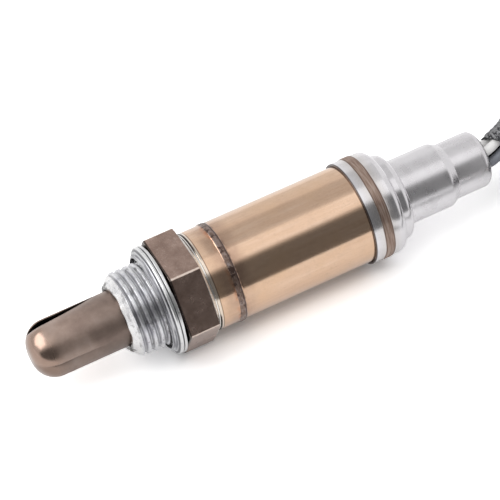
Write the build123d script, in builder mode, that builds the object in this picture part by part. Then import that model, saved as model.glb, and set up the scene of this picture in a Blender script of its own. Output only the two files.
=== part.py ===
from build123d import *
import math
import os

# Heated exhaust oxygen sensor with an M18 x 1.5 thread and a four-wire lead.
# Millimetres. +X runs along the sensor from its nose to its lead, +Z is up, and the hexagon lies
# on a flat. The origin is on the axis, where the thread ends and the gasket's neck begins.

os.makedirs("parts", exist_ok=True)

# ---------------------------------------------------------------- driving sizes
fit_gap = 0.05  # between a bore and what slides into it
face_gap = 0.1  # between two shoulders that the spring keeps together

# protection tube: a domed cap of thin sheet with three lanced louvres
tube_d = 12.0
tube_wall = 0.5
tube_length = 19.7  # from the nose to the tube's flange
nose_flat_d = 2.4  # left flat in the middle of the dome
flange_width = 0.8
flange_thickness = 0.6
louvre_count = 3
louvre_first_angle = 50.9  # of the cut edge, from +Y towards +Z
louvre_width_angle = 40.0  # from the cut edge to the hinge line
louvre_depth = 1.25  # how far the cut edge is pushed in
louvre_start = 1.1  # behind the nose
louvre_length = 15.1
louvre_bow = 0.4  # share of the depth in the middle of the flap
louvre_dip = 0.75  # share of the depth halfway down the dome

# shell: mouth, thread, neck, hexagon and rear collar
thread_d = 17.94  # crests of M18 x 1.5
thread_length = 5.0
thread_runout = 0.4
mouth_rim = 0.3  # wall round the tube's flange at the mouth
mouth_edge = 0.4
mouth_cone_length = 2.4
mouth_lip = 1.1  # wall that is rolled in over the tube's flange
neck_depth = 0.67  # below the thread's crests
neck_length = 3.4
hex_across_flats = 22.0
hex_length = 7.4
hex_front_inset = 0.3  # of the turned face inside the flats
hex_rear_inset = 0.6
hex_front_chamfer = 0.5  # length along the axis at the corners
hex_rear_chamfer = 0.8
collar_length = 10.2  # behind the hexagon, inside the sleeve
collar_lead_in = 0.6

# bore of the shell
nose_bore_d = 10.8
element_bore_d = 14.0
element_seat_x = 1.6
rear_bore_d = 17.2
rear_bore_x = 9.0

# outer sleeve with its ring weld
sleeve_d = 21.2
sleeve_wall = 0.5
sleeve_front_gap = 0.3  # between the hexagon and the sleeve
sleeve_length = 41.0
front_weld_offset = 5.4  # behind the sleeve's front edge
front_weld_width = 1.6
front_weld_height = 0.22
weld_root = 0.1  # how deep a weld bead goes into the sheet

# rear cap: four diameters, each with its rounded shoulder
cap_wall = 0.5
cap_overlap = 6.0  # over the sleeve's rear end
cap_flange_length = 8.3
cap_flange_round = 1.5
cap_step_d = 18.7
cap_step_length = 3.0
cap_step_round = 1.7
cap_barrel_d = 14.06
cap_barrel_length = 9.6
cap_barrel_round = 1.6
cap_shoulder = 1.7  # length of the cone from the barrel down to the tail
cap_tail_d = 12.28
cap_tail_length = 9.9  # with the cone
cap_tail_round = 1.5
cap_crease = 0.4  # bend at the foot of each step
cap_mouth_d = 8.8
rear_weld_offset = 3.8  # behind the cap's front edge
rear_weld_width = 2.8
rear_weld_height = 0.14

# crush gasket: a folded strip, held by the thread
gasket_d = 23.3
gasket_strip = 0.4
gasket_depth = 2.9  # along the axis, from its lip to the hexagon
gasket_lip_d = 19.8
gasket_rim_width = 0.9
gasket_grip = 0.22  # how far its inner edge reaches in behind the thread's crests
gasket_fold_depth = 2.0
gasket_fold_rise = 0.35

# sensing element and heater
element_nose_gap = 2.5  # between the thimble's tip and the end wall of the tube
element_tip_d = 6.6
element_tip_round = 2.8
element_front_d = 9.0
element_front_length = 1.6  # parallel stretch in front of its collar
element_clearance = 0.2  # round its collar
element_collar_length = 4.0
element_rear_d = 9.8
element_rear_length = 10.2  # behind its collar
element_bore_tip_d = 3.8
element_bore_rear_d = 5.4
element_wall_at_tip = 1.3
seal_ring_thickness = 0.7
seal_ring_chamfer = 0.15
contact_ring_thickness = 0.3
packing_thickness = 0.6
packing_gap = 0.3  # round the thimble
heater_d = 3.0
heater_tip_gap = 1.1  # to the bottom of the thimble's bore
heater_rear_gap = 10.2  # from the heater's end to the insulator's rear face

# support insulator, disc spring and contact holder
insulator_flange_gap = 0.3  # inside the sleeve
insulator_flange_length = 4.6
insulator_step_gap = 0.4  # behind the start of the shell's rear bore
insulator_bore_d = 7.4
insulator_front_bore_d = 10.4
insulator_front_room = 1.1  # behind the thimble
spring_height = 3.7
spring_strip = 0.5
spring_edge = 0.3
spring_seat = 0.65  # how far its rim reaches under the cap's first step
holder_d = 10.2
holder_front_gap = 3.0  # behind the heater
holder_stand = 5.8  # out of the insulator
holder_hole_d = 1.7
holder_chamfer = 0.4

# contacts: a grip in the thimble, a ground ring and two heater clamps, each with a tail
strip_width = 1.1
strip_thickness = 0.4
grip_length = 5.5
grip_gap = 0.3  # inside the thimble's bore
grip_back = 1.0  # in front of the thimble's rear face
grip_slot = 0.8
ground_strip = 0.2
ground_step_gap = 0.3  # behind the thimble
clamp_length = 5.0
clamp_span = 76.0  # degrees round the heater

# wires, crimps and grommet
wire_d = 2.05
wire_circle_d = 4.2  # circle through the four wires' centres
wire_clearance = 0.05
black_wire_angle = 126.9  # from +Y towards +Z; the others follow each 90 degrees
crimp_wall = 0.325
crimp_gap = 1.2  # behind the contact holder
crimp_solid = 1.3  # from the crimp's front to the wire's end
crimp_length = 3.4
grommet_front_gap = 0.6  # behind the crimps
grommet_back_gap = 0.2  # in front of the cap's end wall

# lead: woven sleeve over the wires, laid on the floor and coiled
sleeve_mouth_wall = 0.3
sleeve_mouth_slack = 0.08
bundle_gap = 0.2  # between neighbouring wires inside the woven sleeve
mouth_flare_d = 8.6
mouth_flare_length = 6.0
coil_middle_d = 64.0  # across the middle of the turns
coil_centre = (121.2, -8.5)
coil_layers = 2
coil_slack = 0.2  # room round the turns
coil_corner = 2.9
tie_width = 3.6
tie_thickness = 0.8
tie_angle = 40.0
tie_head = (3.2, 5.0, 5.0)  # radial, along the lead, and up
tie_head_corner = 0.6
# points of the lead's middle line where it isn't coiled, from the sensor and to the connector
lead_route = [(79.4, 0.7, -0.1), (92.3, 7.0, -3.0), (102.0, 18.1, -7.6)]
tail_route = [(121.2, -40.5, -1.7), (109.5, -41.2, -3.5), (98.0, -40.6, -4.45)]
route_share = 0.45  # of the shorter run that an arc may take
coil_join = 3.0  # past the route's corner, where the lead goes in among the turns
coil_leave = 7.0  # past the coil's lowest point, where the tail comes out of the turns
wire_straight = 2.4  # of each wire, past the cap's end

# connector: four-way plug beside the coil
connector_gap = 5.0  # bare wires between the woven sleeve and the connector
connector_length = 27.0
connector_width = 16.0
connector_height = 14.4
connector_corner = 1.6
connector_chamfer = 0.5
connector_pitch = 4.4
connector_nose_length = 11.0
connector_nose_inset = 1.4
connector_nose_corner = 1.2
cavity = 2.5
seal_thickness = 4.0
seal_inset = 2.2
seal_corner = 1.0
lock_thickness = 2.2
lock_inset = 1.2  # wall left round the lock
lock_corner = 0.6
lock_stand = 0.3
lock_frame = 0.35  # how far it covers each cavity's edge
terminal_gap = 1.5  # behind the seal
terminal_length = 11.0
terminal_bore_d = 1.2
terminal_grip = 2.5  # of each terminal's length, round the wire's end
rib_count = 3
rib_pitch = 3.2
rib_start = 2.0
rib_width = 1.2
ramp_length = 4.2
ramp_height = 1.3
ramp_width = 5.2
ramp_front_gap = 0.8  # to the front of the body
ramp_root = 0.5  # how deep the ramp goes into the body


def radial(diameter, angle):
    """Point (y, z) on a circle about the sensor's axis."""
    a = math.radians(angle)
    return diameter / 2 * math.cos(a), diameter / 2 * math.sin(a)


# ---------------------------------------------------------------- places that follow from the sizes
nose_radius = (tube_d - nose_flat_d) / 2
flange_d = tube_d + 2 * flange_width
mouth_d = flange_d + 2 * mouth_rim
neck_d = thread_d - 2 * neck_depth
mouth_x = -thread_length - mouth_cone_length
flange_x = mouth_x + mouth_lip
tip_x = flange_x - tube_length
hex_x = neck_length
hex_end = hex_x + hex_length
collar_d = sleeve_d - 2 * sleeve_wall - 2 * fit_gap
collar_end = hex_end + collar_length
sleeve_x = hex_end + sleeve_front_gap
front_weld_x = sleeve_x + front_weld_offset

cap_front_x = sleeve_x + sleeve_length - cap_overlap
cap_flange_d = sleeve_d + 2 * (fit_gap + cap_wall)
cap_flange_end = cap_front_x + cap_flange_length
cap_step_end = cap_flange_end + cap_step_length
cap_barrel_end = cap_step_end + cap_barrel_length
cap_end_x = cap_barrel_end + cap_tail_length
rear_weld_x = cap_front_x + rear_weld_offset

element_tip_x = tip_x + tube_wall + element_nose_gap
element_collar_d = element_bore_d - 2 * element_clearance
seal_ring_end = element_seat_x + seal_ring_thickness
collar_back_x = seal_ring_end + element_collar_length
element_rear_x = collar_back_x + element_rear_length
contact_ring_end = collar_back_x + contact_ring_thickness

insulator_x = contact_ring_end + packing_thickness
insulator_rear_x = cap_flange_end - cap_wall - spring_height
heater_tip_x = element_tip_x + element_wall_at_tip + heater_tip_gap
heater_rear_x = insulator_rear_x - heater_rear_gap
holder_front_x = heater_rear_x + holder_front_gap
holder_rear_x = insulator_rear_x + holder_stand
crimp_front_x = holder_rear_x + crimp_gap
crimp_d = wire_d + 2 * crimp_wall
wire_start_x = crimp_front_x + crimp_solid
strip_rear_x = crimp_front_x - face_gap
wire_hole_r = wire_d / 2 + wire_clearance

bundle_circle_d = (wire_d + bundle_gap) * math.sqrt(2)
lead_d = bundle_circle_d + wire_d + 2 * (sleeve_mouth_wall + sleeve_mouth_slack)
floor_z = -gasket_d / 2  # the sensor lies on its gasket's rim
wire_angles = {
    "black": black_wire_angle,
    "white_a": black_wire_angle - 90,
    "white_b": black_wire_angle - 180,
    "grey": black_wire_angle - 270,
}


# ---------------------------------------------------------------- protection tube
def tube_radii(x):
    """Outer and inner radius of the domed tube at x."""
    centre_x = tip_x + nose_radius
    flat = tube_d / 2 - nose_radius
    if x >= centre_x:
        return tube_d / 2, tube_d / 2 - tube_wall
    outer = flat + math.sqrt(nose_radius**2 - (x - centre_x) ** 2)
    inner = flat + math.sqrt((nose_radius - tube_wall) ** 2 - (x - centre_x) ** 2)
    return outer, inner


louvre_angles = [louvre_first_angle + i * 360 / louvre_count for i in range(louvre_count)]
louvre_start_x = tip_x + louvre_start
louvre_end_x = louvre_start_x + louvre_length
shoulder_x = tip_x + nose_radius
# the cut edge goes down within the dome and rises again in a straight line
louvre_stations = [
    (louvre_start_x, 0.0),
    ((louvre_start_x + shoulder_x) / 2, louvre_dip * louvre_depth),
    (shoulder_x, louvre_depth),
    (louvre_end_x, 0.0),
]

with BuildPart() as protection_tube:
    with BuildSketch(Plane.YZ.offset(tip_x)):
        Circle(tube_d / 2)
    extrude(amount=tube_length + flange_thickness)
    fillet(protection_tube.faces().sort_by(Axis.X)[0].edges(), nose_radius)
    offset(amount=-tube_wall, openings=protection_tube.faces().sort_by(Axis.X)[-1])
    with BuildSketch(Plane.YZ.offset(flange_x)):
        Circle(flange_d / 2)
        Circle(tube_d / 2 - tube_wall, mode=Mode.SUBTRACT)
    extrude(amount=flange_thickness)
    for angle in louvre_angles:
        hinge = angle + louvre_width_angle
        middle = angle + louvre_width_angle / 2
        # window in the wall, from the cut edge to the hinge line
        with BuildSketch(Plane.YZ.offset(louvre_start_x)):
            with BuildLine():
                Line((0, 0), radial(2 * tube_d, angle))
                ThreePointArc(
                    radial(2 * tube_d, angle), radial(2 * tube_d, middle), radial(2 * tube_d, hinge)
                )
                Line(radial(2 * tube_d, hinge), (0, 0))
            make_face()
        extrude(amount=louvre_end_x - louvre_start_x, mode=Mode.SUBTRACT)
        # pushed-in flap, still joined to the wall along the hinge line and at both ends
        for (x0, depth0), (x1, depth1) in zip(louvre_stations, louvre_stations[1:]):
            for x, depth in ((x0, depth0), (x1, depth1)):
                outer, inner = tube_radii(x)
                with BuildSketch(Plane.YZ.offset(x)):
                    with BuildLine():
                        skin = ThreePointArc(
                            radial(2 * outer, hinge),
                            radial(2 * (outer - louvre_bow * depth), middle),
                            radial(2 * (outer - depth), angle),
                        )
                        back = ThreePointArc(
                            radial(2 * inner, hinge),
                            radial(2 * (inner - louvre_bow * depth), middle),
                            radial(2 * (inner - depth), angle),
                        )
                        Line(skin @ 0, back @ 0)
                        Line(skin @ 1, back @ 1)
                    make_face()
            loft(ruled=True)

# ---------------------------------------------------------------- shell
with BuildPart() as shell:
    with BuildSketch(Plane.XZ):
        with BuildLine():
            Polyline(
                (mouth_x, 0),
                (mouth_x, mouth_d / 2 - mouth_edge),
                (mouth_x + mouth_edge, mouth_d / 2),
                (-thread_length, thread_d / 2),
                (0, thread_d / 2),
                (thread_runout, neck_d / 2),
                (hex_x, neck_d / 2),
                (hex_end, neck_d / 2),
                (hex_end, collar_d / 2),
                (collar_end - collar_lead_in, collar_d / 2),
                (collar_end, collar_d / 2 - collar_lead_in / 2),
                (collar_end, 0),
                close=True,
            )
        make_face()
    revolve(axis=Axis.X)
    # hexagon, turned down at both ends
    with BuildSketch(Plane.YZ.offset(hex_x)):
        RegularPolygon(hex_across_flats / 2, 6, major_radius=False)
    extrude(amount=hex_length)
    with BuildSketch(Plane.XZ):
        corner_r = hex_across_flats / math.sqrt(3) + fit_gap
        with BuildLine():
            Polyline(
                (hex_x, hex_across_flats / 2 - hex_front_inset),
                (hex_x + hex_front_chamfer, corner_r),
                (hex_end - hex_rear_chamfer, corner_r),
                (hex_end, hex_across_flats / 2 - hex_rear_inset),
                (hex_end, hex_across_flats),
                (hex_x, hex_across_flats),
                close=True,
            )
        make_face()
    revolve(axis=Axis.X, mode=Mode.SUBTRACT)
    # stepped bore: rolled lip, pocket for the tube's flange, nose bore, seat, element bore, rear bore
    with BuildSketch(Plane.XZ):
        with BuildLine():
            Polyline(
                (mouth_x, 0),
                (mouth_x, tube_d / 2 + fit_gap),
                (flange_x, tube_d / 2 + fit_gap),
                (flange_x, flange_d / 2 + fit_gap),
                (flange_x + flange_thickness, flange_d / 2 + fit_gap),
                (flange_x + flange_thickness, nose_bore_d / 2),
                (element_seat_x, nose_bore_d / 2),
                (element_seat_x, element_bore_d / 2),
                (rear_bore_x, element_bore_d / 2),
                (rear_bore_x, rear_bore_d / 2),
                (collar_end, rear_bore_d / 2),
                (collar_end, 0),
                close=True,
            )
        make_face()
    revolve(axis=Axis.X, mode=Mode.SUBTRACT)

# ---------------------------------------------------------------- crush gasket
strip_half = gasket_strip / 2
gasket_rim_r = gasket_d / 2 - strip_half
gasket_back_x = hex_x - strip_half
gasket_lip_x = hex_x - gasket_depth + strip_half
gasket_fold_r = thread_d / 2 - gasket_grip + strip_half
with BuildPart() as gasket:
    with BuildSketch(Plane.XZ):
        with BuildLine():
            # lip, cone, rim, back wall, and the inner lip folded forwards
            FilletPolyline(
                (gasket_lip_x, gasket_lip_d / 2),
                (gasket_back_x - gasket_rim_width, gasket_rim_r),
                (gasket_back_x, gasket_rim_r),
                (gasket_back_x, gasket_fold_r),
                (gasket_back_x - gasket_fold_depth, gasket_fold_r + gasket_fold_rise),
                radius=gasket_strip,
            )
        trace(line_width=gasket_strip)
    revolve(axis=Axis.X)

# ---------------------------------------------------------------- sealing ring and packing
with BuildPart() as sealing_ring:
    with BuildSketch(Plane.YZ.offset(element_seat_x)):
        Circle(element_bore_d / 2 - face_gap)
        Circle(nose_bore_d / 2 + face_gap, mode=Mode.SUBTRACT)
    extrude(amount=seal_ring_thickness)
    chamfer(sealing_ring.edges().filter_by(GeomType.CIRCLE), seal_ring_chamfer)

with BuildPart() as packing_ring:
    with BuildSketch(Plane.YZ.offset(contact_ring_end)):
        Circle(element_bore_d / 2 - face_gap)
        Circle(element_rear_d / 2 + packing_gap, mode=Mode.SUBTRACT)
    extrude(amount=packing_thickness)

# ---------------------------------------------------------------- sensing element
with BuildPart() as sensing_element:
    with BuildSketch(Plane.XZ):
        with BuildLine():
            Polyline(
                (element_tip_x, 0),
                (element_tip_x, element_tip_d / 2),
                (seal_ring_end - element_front_length, element_front_d / 2),
                (seal_ring_end, element_front_d / 2),
                (seal_ring_end, element_collar_d / 2),
                (collar_back_x, element_collar_d / 2),
                (collar_back_x, element_rear_d / 2),
                (element_rear_x, element_rear_d / 2),
                (element_rear_x, 0),
                close=True,
            )
        make_face()
    revolve(axis=Axis.X)
    tip_edge = sensing_element.edges().filter_by(GeomType.CIRCLE).sort_by(Axis.X)[0]
    fillet(tip_edge, min(element_tip_round, 0.45 * element_tip_d))
    with BuildSketch(Plane.XZ):
        with BuildLine():
            Polyline(
                (element_tip_x + element_wall_at_tip, 0),
                (element_tip_x + element_wall_at_tip, element_bore_tip_d / 2),
                (element_rear_x, element_bore_rear_d / 2),
                (element_rear_x, 0),
                close=True,
            )
        make_face()
    revolve(axis=Axis.X, mode=Mode.SUBTRACT)

with BuildPart() as heater_rod:
    with BuildSketch(Plane.YZ.offset(heater_tip_x)):
        Circle(heater_d / 2)
    extrude(amount=heater_rear_x - heater_tip_x)
    chamfer(heater_rod.faces().sort_by(Axis.X)[0].edges(), heater_d / 8)


# ---------------------------------------------------------------- contacts
def tail_profile(start_x, angle):
    """Section of the flat contact strip that lies on one wire's line."""
    with BuildSketch(Plane.YZ.offset(start_x)) as profile:
        with PolarLocations(wire_circle_d / 2, 1, start_angle=angle):
            Rectangle(strip_thickness, strip_width)
    return profile.sketch


# spring sleeve that grips the inside of the thimble, with the signal tail
inner_contact_outer_r = element_bore_rear_d / 2 - grip_gap
inner_contact_x = element_rear_x - grip_back - grip_length
with BuildPart() as inner_contact:
    with BuildSketch(Plane.YZ.offset(inner_contact_x)):
        Circle(inner_contact_outer_r)
        Circle(wire_circle_d / 2 - strip_thickness / 2, mode=Mode.SUBTRACT)
    extrude(amount=grip_length)
    # lengthways slot that lets the sleeve spring
    with BuildSketch(Plane.YZ.offset(inner_contact_x)):
        with PolarLocations(inner_contact_outer_r, 1, start_angle=wire_angles["black"] + 180):
            Rectangle(2 * inner_contact_outer_r, grip_slot)
    extrude(amount=grip_length, mode=Mode.SUBTRACT)
    extrude(tail_profile(inner_contact_x, wire_angles["black"]), amount=strip_rear_x - inner_contact_x)

# ring behind the thimble's collar, stepped in behind the thimble, with the ground tail
ground_angle = wire_angles["grey"]
step_x = element_rear_x + ground_step_gap
outer_reach = element_rear_d / 2 + fit_gap + ground_strip
inner_reach = wire_circle_d / 2 - strip_thickness / 2
with BuildPart() as outer_contact:
    with BuildSketch(Plane.YZ.offset(collar_back_x)):
        Circle(element_collar_d / 2)
        Circle(element_rear_d / 2 + fit_gap, mode=Mode.SUBTRACT)
    extrude(amount=contact_ring_thickness)
    with BuildSketch(Plane.YZ.offset(collar_back_x)):
        with PolarLocations(outer_reach - ground_strip / 2, 1, start_angle=ground_angle):
            Rectangle(ground_strip, strip_width)
    extrude(amount=step_x + strip_thickness - collar_back_x)
    with BuildSketch(Plane.YZ.offset(step_x)):
        with PolarLocations((outer_reach + inner_reach) / 2, 1, start_angle=ground_angle):
            Rectangle(outer_reach - inner_reach, strip_width)
    extrude(amount=strip_thickness)
    extrude(tail_profile(step_x, ground_angle), amount=strip_rear_x - step_x)

# two half clamps on the heater rod, each with its tail
clamp_inner = heater_d + 2 * fit_gap
clamp_outer = wire_circle_d
clamp_x = heater_rear_x - clamp_length
with BuildPart() as heater_contacts:
    for name in ("white_a", "white_b"):
        middle = wire_angles[name]
        first, last = middle - clamp_span / 2, middle + clamp_span / 2
        with BuildSketch(Plane.YZ.offset(clamp_x)):
            with BuildLine():
                near = ThreePointArc(
                    radial(clamp_inner, first), radial(clamp_inner, middle), radial(clamp_inner, last)
                )
                far = ThreePointArc(
                    radial(clamp_outer, first), radial(clamp_outer, middle), radial(clamp_outer, last)
                )
                Line(near @ 0, far @ 0)
                Line(near @ 1, far @ 1)
            make_face()
        extrude(amount=clamp_length)
        extrude(tail_profile(clamp_x, middle), amount=strip_rear_x - clamp_x)

# ---------------------------------------------------------------- support insulator, spring and holder
insulator_d = rear_bore_d - 2 * face_gap
insulator_step_x = rear_bore_x + insulator_step_gap
insulator_flange_x = insulator_rear_x - insulator_flange_length
insulator_flange_r = sleeve_d / 2 - sleeve_wall - insulator_flange_gap
insulator_front_bore_end = element_rear_x + insulator_front_room
with BuildPart() as support_insulator:
    with BuildSketch(Plane.XZ):
        with BuildLine():
            Polyline(
                (insulator_x, insulator_front_bore_d / 2),
                (insulator_x, element_bore_d / 2 - face_gap),
                (insulator_step_x, element_bore_d / 2 - face_gap),
                (insulator_step_x, insulator_d / 2),
                (insulator_flange_x, insulator_d / 2),
                (insulator_flange_x, insulator_flange_r),
                (insulator_rear_x, insulator_flange_r),
                (insulator_rear_x, holder_d / 2 + face_gap),
                (holder_front_x, holder_d / 2 + face_gap),
                (holder_front_x, insulator_bore_d / 2),
                (insulator_front_bore_end, insulator_bore_d / 2),
                (insulator_front_bore_end, insulator_front_bore_d / 2),
                close=True,
            )
        make_face()
    revolve(axis=Axis.X)

# dished washer between the insulator and the cap's first step
spring_back_x = cap_flange_end - cap_wall
spring_inner_r = holder_d / 2 + spring_strip
spring_outer_r = cap_step_d / 2 - cap_wall + spring_seat
with BuildPart() as disc_spring:
    with BuildSketch(Plane.XZ):
        with BuildLine():
            Polyline(
                (insulator_rear_x, spring_inner_r + spring_edge),
                (insulator_rear_x + spring_strip, spring_inner_r),
                (spring_back_x, spring_outer_r - spring_edge),
                (spring_back_x - spring_strip, spring_outer_r),
                close=True,
            )
        make_face()
    revolve(axis=Axis.X)

with BuildPart() as contact_holder:
    with BuildSketch(Plane.YZ.offset(holder_front_x)):
        Circle(holder_d / 2)
    extrude(amount=holder_rear_x - holder_front_x)
    chamfer(contact_holder.faces().sort_by(Axis.X)[-1].edges(), holder_chamfer)
    with Locations(Plane.YZ.offset(holder_rear_x)):
        with PolarLocations(wire_circle_d / 2, 4, start_angle=black_wire_angle):
            Hole(holder_hole_d / 2)

# ---------------------------------------------------------------- outer sleeve
def weld_bead(middle_x, width, radius, height):
    """Section of a ring weld that stands out of a round wall."""
    front, back = middle_x - width / 2, middle_x + width / 2
    with BuildSketch(Plane.XZ) as profile:
        with BuildLine():
            foot = radius - weld_root
            Polyline((front, radius), (front, foot), (back, foot), (back, radius))
            ThreePointArc((back, radius), (middle_x, radius + height), (front, radius))
        make_face()
    return profile.sketch


with BuildPart() as outer_sleeve:
    with BuildSketch(Plane.YZ.offset(sleeve_x)):
        Circle(sleeve_d / 2)
    extrude(amount=sleeve_length)
    revolve(weld_bead(front_weld_x, front_weld_width, sleeve_d / 2, front_weld_height), axis=Axis.X)
    with BuildSketch(Plane.YZ.offset(sleeve_x)):
        Circle(sleeve_d / 2 - sleeve_wall)
    extrude(amount=sleeve_length, mode=Mode.SUBTRACT)

# ---------------------------------------------------------------- rear cap
def snug(radius, room):
    """Radius of a bend, limited by the wall that it has."""
    return min(radius - cap_wall / 2, 0.8 * room)


cap_diameters = (cap_flange_d, cap_step_d, cap_barrel_d, cap_tail_d)
flange_r, step_r, barrel_r, tail_r = [(diameter - cap_wall) / 2 for diameter in cap_diameters]
cap_end_middle = cap_end_x - cap_wall / 2
with BuildPart() as rear_cap:
    with BuildSketch(Plane.XZ):
        with BuildLine():
            # middle of the wall, from the flange's front edge to the mouth
            FilletPolyline(
                (cap_front_x, flange_r),
                (cap_flange_end - cap_wall / 2, flange_r),
                (cap_flange_end - cap_wall / 2, step_r),
                (cap_step_end - cap_wall / 2, step_r),
                (cap_step_end - cap_wall / 2, barrel_r),
                (cap_barrel_end, barrel_r),
                (cap_barrel_end + cap_shoulder, tail_r),
                (cap_end_middle, tail_r),
                (cap_end_middle, cap_mouth_d / 2),
                radius=[
                    snug(cap_flange_round, flange_r - step_r - cap_crease),
                    min(cap_crease, (flange_r - step_r) / 4),
                    snug(cap_step_round, step_r - barrel_r - cap_crease),
                    min(cap_crease, (step_r - barrel_r) / 4),
                    cap_barrel_round,
                    cap_crease,
                    snug(cap_tail_round, tail_r - cap_mouth_d / 2),
                ],
            )
        trace(line_width=cap_wall)
    revolve(axis=Axis.X)
    revolve(weld_bead(rear_weld_x, rear_weld_width, cap_flange_d / 2, rear_weld_height), axis=Axis.X)

# ---------------------------------------------------------------- grommet and crimps
grommet_front_x = crimp_front_x + crimp_length + grommet_front_gap
grommet_back_x = cap_end_x - cap_wall - grommet_back_gap
barrel_bore_r = cap_barrel_d / 2 - cap_wall - fit_gap
tail_bore_r = cap_tail_d / 2 - cap_wall - fit_gap
with BuildPart() as grommet:
    with BuildSketch(Plane.XZ):
        with BuildLine():
            Polyline(
                (grommet_front_x, 0),
                (grommet_front_x, barrel_bore_r),
                (cap_barrel_end - cap_barrel_round, barrel_bore_r),
                (cap_barrel_end + cap_shoulder / 2, tail_bore_r),
                (grommet_back_x - cap_tail_round, tail_bore_r),
                (grommet_back_x, tail_bore_r - cap_tail_round),
                (grommet_back_x, 0),
                close=True,
            )
        make_face()
    revolve(axis=Axis.X)
    with Locations(Plane.YZ.offset(grommet_back_x)):
        with PolarLocations(wire_circle_d / 2, 4, start_angle=black_wire_angle):
            Hole(wire_hole_r)

with BuildPart() as crimp_terminals:
    for angle in wire_angles.values():
        with BuildSketch(Plane.YZ.offset(crimp_front_x)):
            with PolarLocations(wire_circle_d / 2, 1, start_angle=angle):
                Circle(crimp_d / 2)
        extrude(amount=crimp_length)
        with BuildSketch(Plane.YZ.offset(wire_start_x)):
            with PolarLocations(wire_circle_d / 2, 1, start_angle=angle):
                Circle(wire_hole_r)
        extrude(amount=crimp_length, mode=Mode.SUBTRACT)


# ---------------------------------------------------------------- route of the lead
def rounded(points):
    """Straight runs joined by tangent arcs, each as large as its two runs allow, and the radii."""
    corners = [Vector(p) for p in points]
    radii = []
    for before, corner, after in zip(corners, corners[1:], corners[2:]):
        turn = (corner - before).get_angle(after - corner)
        shorter = min((corner - before).length, (after - corner).length)
        radii.append(route_share * shorter / math.tan(math.radians(turn / 2)))
    return radii


lead_radii = rounded(lead_route)
tail_radii = rounded(tail_route)
print("lead radii", [round(r, 1) for r in lead_radii], "tail radii", [round(r, 1) for r in tail_radii])

coil_r = coil_middle_d / 2
coil_width = lead_d + coil_slack
coil_height = coil_layers * lead_d + coil_slack
coil_z = floor_z + tie_thickness + fit_gap + coil_height / 2
with BuildPart() as lead_coil:
    with BuildSketch(Plane(origin=(*coil_centre, coil_z), x_dir=(1, 0, 0), z_dir=(0, -1, 0))):
        with Locations((coil_r, 0)):
            RectangleRounded(coil_width, coil_height, coil_corner)
    revolve(axis=Axis((*coil_centre, coil_z), (0, 0, 1)))

# from the flared mouth to where the lead lies against the coil's turns
lead_start = Vector(lead_route[0])
lead_heading = (Vector(lead_route[1]) - lead_start).normalized()
solid_start = lead_start + lead_heading * mouth_flare_length
join_heading = (Vector(lead_route[2]) - Vector(lead_route[1])).normalized()
join_point = Vector(lead_route[1]) + join_heading * coil_join
with BuildPart() as lead_sleeve:
    with BuildLine():
        FilletPolyline(solid_start, *lead_route[1:], radius=lead_radii)
    with BuildSketch(Plane(origin=solid_start, z_dir=lead_heading)):
        Circle(lead_d / 2)
    sweep()
    split(bisect_by=Plane(origin=join_point, z_dir=join_heading), keep=Keep.BOTTOM)
    add(lead_coil.part, mode=Mode.SUBTRACT)
    # flared mouth of the woven sleeve
    for diameters, mode in (
        ((mouth_flare_d, lead_d), Mode.ADD),
        ((mouth_flare_d - 2 * sleeve_mouth_wall, lead_d - 2 * sleeve_mouth_wall), Mode.SUBTRACT),
    ):
        with BuildSketch(Plane(origin=lead_start, z_dir=lead_heading)):
            Circle(diameters[0] / 2)
        with BuildSketch(Plane(origin=solid_start, z_dir=lead_heading)):
            Circle(diameters[1] / 2)
        loft(mode=mode)

# from the coil to the wires at the connector
tail_end = Vector(tail_route[-1])
tail_heading = (tail_end - Vector(tail_route[-2])).normalized()
leave_heading = (Vector(tail_route[1]) - Vector(tail_route[0])).normalized()
leave_point = Vector(tail_route[0]) + leave_heading * coil_leave
with BuildPart() as lead_tail:
    with BuildLine():
        FilletPolyline(*tail_route, radius=tail_radii)
    with BuildSketch(Plane(origin=tail_route[0], z_dir=leave_heading)):
        Circle(lead_d / 2)
    sweep()
    split(bisect_by=Plane(origin=leave_point, z_dir=leave_heading), keep=Keep.TOP)
    add(lead_coil.part, mode=Mode.SUBTRACT)

# ---------------------------------------------------------------- coil tie
tie_radial = Vector(math.cos(math.radians(tie_angle)), math.sin(math.radians(tie_angle)), 0)
tie_along = Vector(-tie_radial.Y, tie_radial.X, 0)
tie_origin = Vector(*coil_centre, coil_z) + tie_radial * coil_r
tie_inner = (coil_width + 4 * fit_gap, coil_height + 2 * fit_gap)
tie_outer = (tie_inner[0] + 2 * tie_thickness, tie_inner[1] + 2 * tie_thickness)
tie_plane = Plane(origin=tie_origin - tie_along * (tie_width / 2), x_dir=tie_radial, z_dir=tie_along)
with BuildPart() as coil_tie:
    with BuildSketch(tie_plane):
        RectangleRounded(*tie_outer, coil_corner + tie_thickness)
    extrude(amount=tie_width)
    # locking head on the outer side
    with BuildSketch(tie_plane.offset((tie_width - tie_head[1]) / 2)):
        with Locations((tie_outer[0] / 2 + tie_head[0] / 2 - tie_thickness / 2, 0)):
            RectangleRounded(tie_head[0], tie_head[2], tie_head_corner)
    extrude(amount=tie_head[1])
    with BuildSketch(tie_plane):
        RectangleRounded(*tie_inner, coil_corner)
    extrude(amount=tie_width, mode=Mode.SUBTRACT)

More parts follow.
